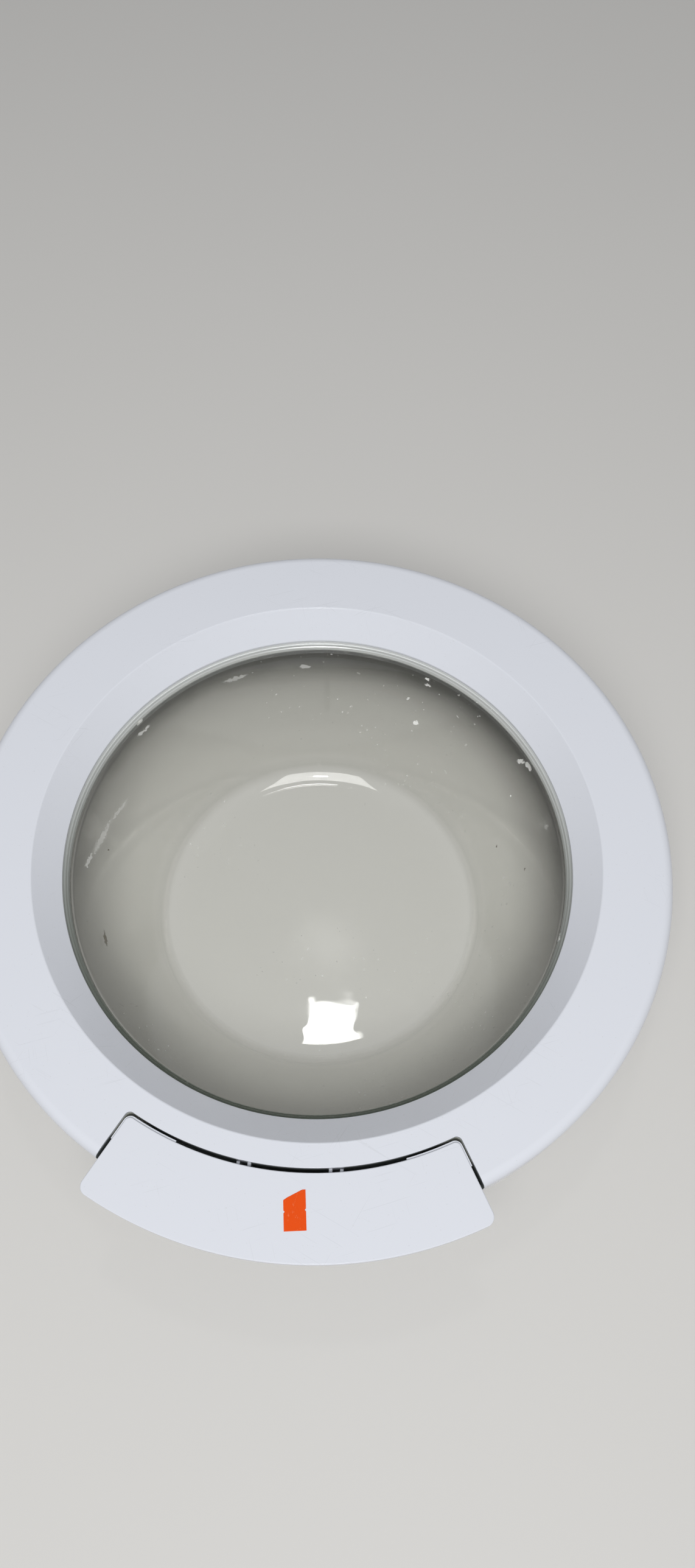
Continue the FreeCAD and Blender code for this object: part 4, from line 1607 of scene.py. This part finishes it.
@dataclass
class FrameScrews:
    """The six self-tapping screws that hold the two frames together."""

    seat: float = 95.5
    head: float = 4.0
    head_low: float = 93.8
    hexagon: float = 3.5
    shave_reach: float = 3.25
    shave_angle: float = 62.0
    shave_count: int = 12
    washer_low: float = 94.9
    washer_round: float = 0.2
    shank: float = 1.95
    neck_top: float = 112.4
    tip_top: float = 114.0
    tip: float = 0.9
    cross: Pair = (0.5, 2.1)
    cross_level: Pair = (90, 94.9)

    def build(self, finishes: Finishes) -> None:
        """Model one screw, copy it to the others' places and dress all six as one piece.

        Args:
            finishes: The door's materials.
        """
        first = self.turn_one()
        screws = [twin(first, (x, y, 0)) for x, y in SCREW_PLACES]
        bpy.data.objects.remove(first)
        alone(screws[0])
        for screw in screws:
            screw.select_set(True)
        bpy.ops.object.join()
        joined = bpy.context.active_object
        joined.name = "frame_screw_set"
        hand_over(joined, finishes.steel, "door", "frame_screws")

    def turn_one(self) -> Piece:
        """Model a screw on the door's axis: six-sided head with a cross recess, washer, shank and tip.

        Returns:
            The screw.
        """
        low, high = (0, 0, self.head_low), (0, 0, self.washer_low + 0.3)
        screw = bar("screw", low, high, self.hexagon, sides=6)
        self.shave_head(screw)
        low, high = (0, 0, self.washer_low), (0, 0, self.seat + 0.5)
        washer = bar("washer", low, high, self.head, sides=32)
        ease_edges(washer, self.washer_round)
        work(screw, washer, Cut.ADD)
        base, top = self.cross_level
        for x, y in (self.cross, self.cross[::-1]):
            work(screw, block("cross", (-x, -y, base), (x, y, top)), Cut.TAKE)
        low, high = (0, 0, self.seat), (0, 0, self.neck_top)
        work(screw, bar("shank", low, high, self.shank, sides=24), Cut.ADD)
        low, high = (0, 0, self.neck_top - 0.01), (0, 0, self.tip_top)
        work(screw, bar("tip", low, high, self.shank - 0.001, self.tip, 24), Cut.ADD)
        close_up(screw)
        smooth(screw)
        return screw

    def shave_head(self, screw: Piece) -> None:
        """Shave the corners of the screw's head all round.

        Args:
            screw: The six-sided head.
        """
        lean = math.radians(self.shave_angle)
        for i in range(self.shave_count):
            around = TURN * i / self.shave_count
            out = (math.cos(around), math.sin(around))
            point = (self.shave_reach * out[0], self.shave_reach * out[1], self.head_low)
            shave(screw, point, (math.sin(lean) * out[0], math.sin(lean) * out[1], -math.cos(lean)))


@dataclass
class LatchHook:
    """The die-cast hook, and the steel axle that it and the handle turn on."""

    axle: float = 2.0
    axle_half: float = 36.0
    axle_round: float = 0.4
    half: float = 4.5
    stem: float = 3.5
    low: float = 64.0
    barb_low: float = 73.0
    barb_high: float = 78.5
    barb_root: float = 77.0
    barb: float = 7.5
    bore: float = 2.06
    ease: float = 0.6
    pocket_half: float = 1.6
    pocket_depth: float = 0.7
    pocket_level: Pair = (80, 112)
    pocket_round: float = 0.5

    def build(self, finishes: Finishes) -> None:
        """Model and dress the hook and the axle.

        Args:
            finishes: The door's materials.
        """
        y, z = AXLE_PLACE
        hook = self.cast_hook(y, z)
        smooth(hook)
        hook.name = "latch_hook_cast"
        hand_over(hook, finishes.cast, "hook", "latch_hook")
        axle = bar("axle_rod", (-self.axle_half, y, z), (self.axle_half, y, z), self.axle)
        ease_edges(axle, self.axle_round)
        smooth(axle)
        hand_over(axle, finishes.steel, "door", "handle_axle")

    def cast_hook(self, y: float, z: float) -> Piece:
        """Model the stem with its round head, the barb, the bore and a pocket on either side.

        Args:
            y: The axle's place.
            z: The axle's place.

        Returns:
            The hook.
        """
        half, stem = self.half, self.stem
        tip = y + stem + self.barb
        hook = block("hook", (-half, y - stem, self.low), (half, y + stem, z + stem))
        for edge in (y - stem, y + stem):
            round_along_x(hook, (edge, z + stem), stem * 0.98, 8)
        barb = block("barb", (-half, y - 1.0, self.low), (half, tip, self.barb_high))
        shave(barb, (0, tip, self.barb_low), (0, self.barb_low - self.low, y - tip))
        shave(barb, (0, tip, self.barb_high), (0, self.barb_root - self.barb_high, self.barb))
        work(hook, barb, Cut.ADD)
        close_up(hook)
        ease_edges(hook, self.ease, 28.0, 3)
        work(hook, bar("bore", (-9, y, z), (9, y, z), self.bore), Cut.TAKE)
        low, high = self.pocket_level
        for side in SIDES:
            near = side * (half - self.pocket_depth)
            start, end = (near, y - self.pocket_half, low), (near + side * 2, y + self.pocket_half, high)
            work(hook, block("pocket", start, end, self.pocket_round), Cut.TAKE)
        return hook


@dataclass
class HandleSpring:
    """The wound spring on the axle: one leg stands in the tray, the other bends behind the hook."""

    wire: float = 0.58
    slack: float = 0.1
    mean: float = 4.16
    near: float = 5.4
    far: float = 13.8
    turns: float = 6.5
    facets: int = 30
    hook_turns: float = 0.1
    hook_leg: float = 7.4
    tray_leg: float = 9.6
    bend: float = 1.2

    def build(self, finishes: Finishes) -> None:
        """Wind and dress the coil, and the leg that moves with the hook.

        Args:
            finishes: The door's materials.
        """
        coil = self.wind("wound_spring", self.wire, self.turns)
        with editing(coil, wanted=self.end_at((self.far, self.mean, 0))):
            extrude((0, 0, -self.tray_leg))
        leg = self.wind("spring_leg", self.wire - self.slack, self.hook_turns)
        pivot = ((self.near - self.bend) * MM, 0, -self.hook_leg * MM)
        with editing(leg, wanted=self.end_at((self.near, -self.mean, 0))):
            extrude((0, 0, -self.hook_leg))
            bpy.ops.mesh.spin(steps=6, angle=-math.pi / 2, center=pivot, axis=(0, 1, 0))
            extrude((self.bend - self.near + self.wire, 0, 0))
        for spring in (coil, leg):
            self.fit(spring)
        hand_over(coil, finishes.steel, "door", "handle_spring")
        hand_over(leg, finishes.steel, "hook")

    def wind(self, name: str, wire: float, turns: float) -> Piece:
        """Wind a wire round X, from the hook's side of the axle upwards.

        Args:
            name: The piece's name.
            wire: The wire's radius in millimetres.
            turns: How often it goes round.

        Returns:
            The open coil, with its axis through the origin.
        """
        place = (self.near * MM, -self.mean * MM, 0)
        circle = {"vertices": 12, "radius": wire * MM, "location": place}
        spring = begin(name, bpy.ops.mesh.primitive_circle_add, **circle)
        steps = round(turns * self.facets)
        rise = (self.far - self.near) * turns / self.turns * MM
        settings = {"screw_offset": rise, "steps": steps, "render_steps": steps}
        modify(spring, "SCREW", axis="X", angle=-TURN * turns, **settings)
        return spring

    def end_at(self, place: Point) -> Test:
        """Make the test for the open circle of wire at a place.

        Args:
            place: The circle's middle in millimetres.

        Returns:
            The test of an edge.
        """
        middle = Vector(place) * MM
        reach = self.wire * 1.1 * MM
        return lambda edge: edge.is_boundary and all((v.co - middle).length < reach for v in edge.verts)

    @staticmethod
    def fit(spring: Piece) -> None:
        """Close the ends of a piece of the spring and put it on the axle.

        Args:
            spring: The piece, with its axis through the origin.
        """
        with editing(spring, wanted=lambda edge: edge.is_boundary):
            bpy.ops.mesh.edge_face_add()
        close_up(spring)
        spring.location = (0, *(part * MM for part in AXLE_PLACE))
        settle(spring)
        smooth(spring, 50.0)


@dataclass
class HingeBracket:
    """The die-cast swan neck that hangs on the hinge's pin, with its bolted flange."""

    hang: float = 64.85
    barrel: float = 7.0
    barrel_half: float = 30.0
    bore: float = 3.03
    arm_half: float = 18.0
    arm_top: float = 4.0
    neck_front: float = -29.5
    neck_back: float = -23.0
    neck_outer_round: float = 9.0
    neck_inner_round: float = 3.0
    rim_round: float = 0.8
    drop: float = -23.5
    flange_half: float = 56.0
    flange_front: float = -46.0
    flange_top: float = -20.0
    flange_round: float = 8.0
    web_half: float = 1.4
    web_inset: float = 3.2
    web_top: float = -8.0
    web_lean: Triple = (0, -0.36, 0.93)
    bolt: Pair = (42.0, -36.0)
    bolt_hole: float = 2.75
    sink: float = 5.2

    def build(self, finishes: Finishes) -> None:
        """Model the bracket level, hang it on its pin and dress it.

        Args:
            finishes: The door's materials.
        """
        bracket = self.cast_arm()
        work(bracket, self.cast_flange(), Cut.ADD)
        barrel = bar("barrel", (-self.barrel_half, 0, 0), (self.barrel_half, 0, 0), self.barrel, sides=56)
        ease_edges(barrel, self.rim_round, steps=3)
        work(bracket, barrel, Cut.ADD)
        self.add_webs(bracket)
        self.drill(bracket)
        close_up(bracket)
        smooth(bracket)
        bracket.name = "swan_neck"
        bracket.rotation_euler = (math.radians(self.hang), 0, 0)
        bracket.location = (0, *(part * MM for part in PIN_PLACE))
        settle(bracket)
        hand_over(bracket, finishes.cast, "hinge", "hinge_bracket")

    def cast_arm(self) -> Piece:
        """The arm and the neck, with the swan neck's bend.

        Returns:
            The arm.
        """
        half = self.arm_half
        arm = block("arm", (-half, self.neck_front, self.drop), (half, 0, self.arm_top))
        work(arm, block("room", (-99, self.neck_back, -99), (99, 9, -self.arm_top)), Cut.TAKE)
        close_up(arm)
        round_along_x(arm, (self.neck_front, self.arm_top), self.neck_outer_round, 10)
        round_along_x(arm, (self.neck_back, -self.arm_top), self.neck_inner_round)
        ease_edges(arm, self.rim_round, steps=3)
        return arm

    def cast_flange(self) -> Piece:
        """The flange with its round corners.

        Returns:
            The flange.
        """
        low = (-self.flange_half, self.flange_front, self.drop)
        flange = block("flange", low, (self.flange_half, self.neck_back, self.flange_top))
        round_edges(flange, upright, self.flange_round, 8)
        ease_edges(flange, 0.6, steps=2)
        return flange

    def add_webs(self, bracket: Piece) -> None:
        """Add the two webs that stiffen the neck on its flange.

        Args:
            bracket: The bracket.
        """
        half, top = self.web_half, self.flange_top
        for side in SIDES:
            x = side * (self.arm_half - self.web_inset)
            low = (x - half, self.flange_front + 5, top - 1)
            web = block("web", low, (x + half, self.neck_front + 1, self.web_top))
            shave(web, (0, self.flange_front + 6, top), self.web_lean)
            ease_edges(web, 0.5)
            work(bracket, web, Cut.ADD)

    def drill(self, bracket: Piece) -> None:
        """Drill the pin's bore and the countersunk bolt holes.

        Args:
            bracket: The bracket.
        """
        work(bracket, bar("bore", (-40, 0, 0), (40, 0, 0), self.bore), Cut.TAKE)
        y, top = self.bolt[1], self.flange_top
        low = top - (self.sink - self.bolt_hole) * 0.8
        for side in SIDES:
            x = side * self.bolt[0]
            work(bracket, bar("hole", (x, y, -30), (x, y, -10), self.bolt_hole), Cut.TAKE)
            sink = bar("sink", (x, y, low), (x, y, top + 0.4), self.bolt_hole, self.sink + 0.5)
            work(bracket, sink, Cut.TAKE)


@dataclass
class HingeSeat:
    """The hinge's steel pin and the two square bushes that carry it."""

    radius: float = 3.0
    reach: float = 40.3
    pin_round: float = 0.5
    bush_start: float = 30.3
    bush_half: float = 5.0
    bush_round: float = 0.7
    bore: float = 3.06

    def build(self, finishes: Finishes) -> None:
        """Model and dress the pin and the bushes.

        Args:
            finishes: The door's materials.
        """
        y, z = PIN_PLACE
        pin = bar("pin_rod", (-self.reach, y, z), (self.reach, y, z), self.radius)
        ease_edges(pin, self.pin_round)
        smooth(pin)
        hand_over(pin, finishes.steel, "hinge", "hinge_pin")
        half = self.bush_half
        boxes = both_sides((self.bush_start, y - half, z - half), (self.reach, y + half, z + half))
        for (low, high), name in zip(boxes, ("left", "right")):
            bush = block(f"bush_{name}", low, high, self.bush_round)
            work(bush, bar("bore", (low[0] - 1, y, z), (high[0] + 1, y, z), self.bore), Cut.TAKE)
            smooth(bush)
            hand_over(bush, finishes.bush, "door", f"hinge_bush_{name}")


class Lamp(NamedTuple):
    """A square lamp: place, target and side in metres, power in watts, and whether it is mirrored."""

    name: str
    place: Triple
    target: Triple
    size: float
    power: float
    mirrored: bool = True


LAMPS = (
    Lamp("key", (0.05, -1.1, 2.2), (0, 0, 0.1), 1.3, 41.0, mirrored=False),
    Lamp("tube", (0.05, -1.05, 2.1), (0, 0, 0.1), 0.2, 3.4),
    Lamp("ceiling", (-0.034, 0.43, 2.2), (0, -0.09, 0), 0.125, 1.0),
)


@dataclass
class Studio:
    """Floor, light and camera."""

    floor_side: float = 6.0
    floor_level: float = -0.0002
    eye: Triple = (33.5, -293.9, 868.7)
    right: Triple = (0.9973, 0.0724, 0.0105)
    up: Triple = (-0.0700, 0.9042, 0.4214)
    forward: Triple = (-0.0210, 0.4210, -0.9068)
    lens: float = 27.06
    sensor: float = 36.0
    sky: Triple = (0.98, 0.99, 1.0)
    sky_strength: float = 0.30
    backdrop: float = 0.68
    seen_by: tuple[str, ...] = ("Camera", "Glossy", "Transmission")

    def build(self) -> None:
        """Set up the floor, the light and the camera."""
        self.lay_floor()
        self.set_world()
        for lamp in LAMPS:
            self.hang_lamp(lamp)
        self.add_camera()
        bpy.context.scene.view_settings.view_transform = "Standard"

    def lay_floor(self) -> None:
        """Lay the floor, a little below the glass."""
        place = (0, 0, self.floor_level)
        floor = begin("floor", bpy.ops.mesh.primitive_plane_add, size=self.floor_side, location=place)
        dress(floor, PaleFloor().material())

    def set_world(self) -> None:
        """Light everything softly from all round."""
        book = NodeBook(bpy.data.worlds.new("sky"))
        seen = reduce(Value.most, [book.ray(kind) for kind in self.seen_by])
        strength = seen * (self.backdrop - self.sky_strength) + self.sky_strength
        sky = book.node("ShaderNodeBackground", inputs={"Color": (*self.sky, 1.0), "Strength": strength})
        bpy.context.scene.world = book.finish(sky)

    @staticmethod
    def hang(name: str, content: bpy.types.ID, place: Point, turn: Matrix) -> Piece:
        """Put a lamp or a camera into the scene.

        Args:
            name: Its name.
            content: Its light or lens.
            place: Where it is, in metres.
            turn: How it is turned.

        Returns:
            The new object.
        """
        holder = bpy.data.objects.new(name, content)
        bpy.context.scene.collection.objects.link(holder)
        holder.matrix_world = Matrix.Translation(place) @ turn.to_4x4()
        return holder

    def hang_lamp(self, lamp: Lamp) -> None:
        """Hang a lamp and point it at its target.

        Args:
            lamp: The lamp.
        """
        light = bpy.data.lights.new(lamp.name, "AREA")
        light.shape = "SQUARE"
        light.size = lamp.size
        light.energy = lamp.power
        aim = Vector(lamp.target) - Vector(lamp.place)
        holder = self.hang(lamp.name, light, lamp.place, aim.to_track_quat("-Z", "Y").to_matrix())
        holder.visible_glossy = lamp.mirrored

    def add_camera(self) -> None:
        """Stand the camera where the picture was taken from."""
        view = bpy.data.cameras.new("view")
        view.lens = self.lens
        view.sensor_width = self.sensor
        axes = Matrix((self.right, self.up, [-part for part in self.forward])).transposed()
        bpy.context.scene.camera = self.hang("view", view, [part * MM for part in self.eye], axes)


def main() -> None:
    """Set up the door's surroundings, then build and dress the door."""
    logging.basicConfig(level=logging.INFO, format="%(name)s: %(message)s")
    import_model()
    Studio().build()
    finishes = Finishes()
    GlassBowl().build(finishes)
    FrontFrame().build(finishes)
    RearFrame().build(finishes)
    DoorHandle().build(finishes)
    OrangeLabel().build(finishes)
    FrameScrews().build(finishes)
    LatchHook().build(finishes)
    HandleSpring().build(finishes)
    HingeBracket().build(finishes)
    HingeSeat().build(finishes)


if __name__ == "__main__":
    main()
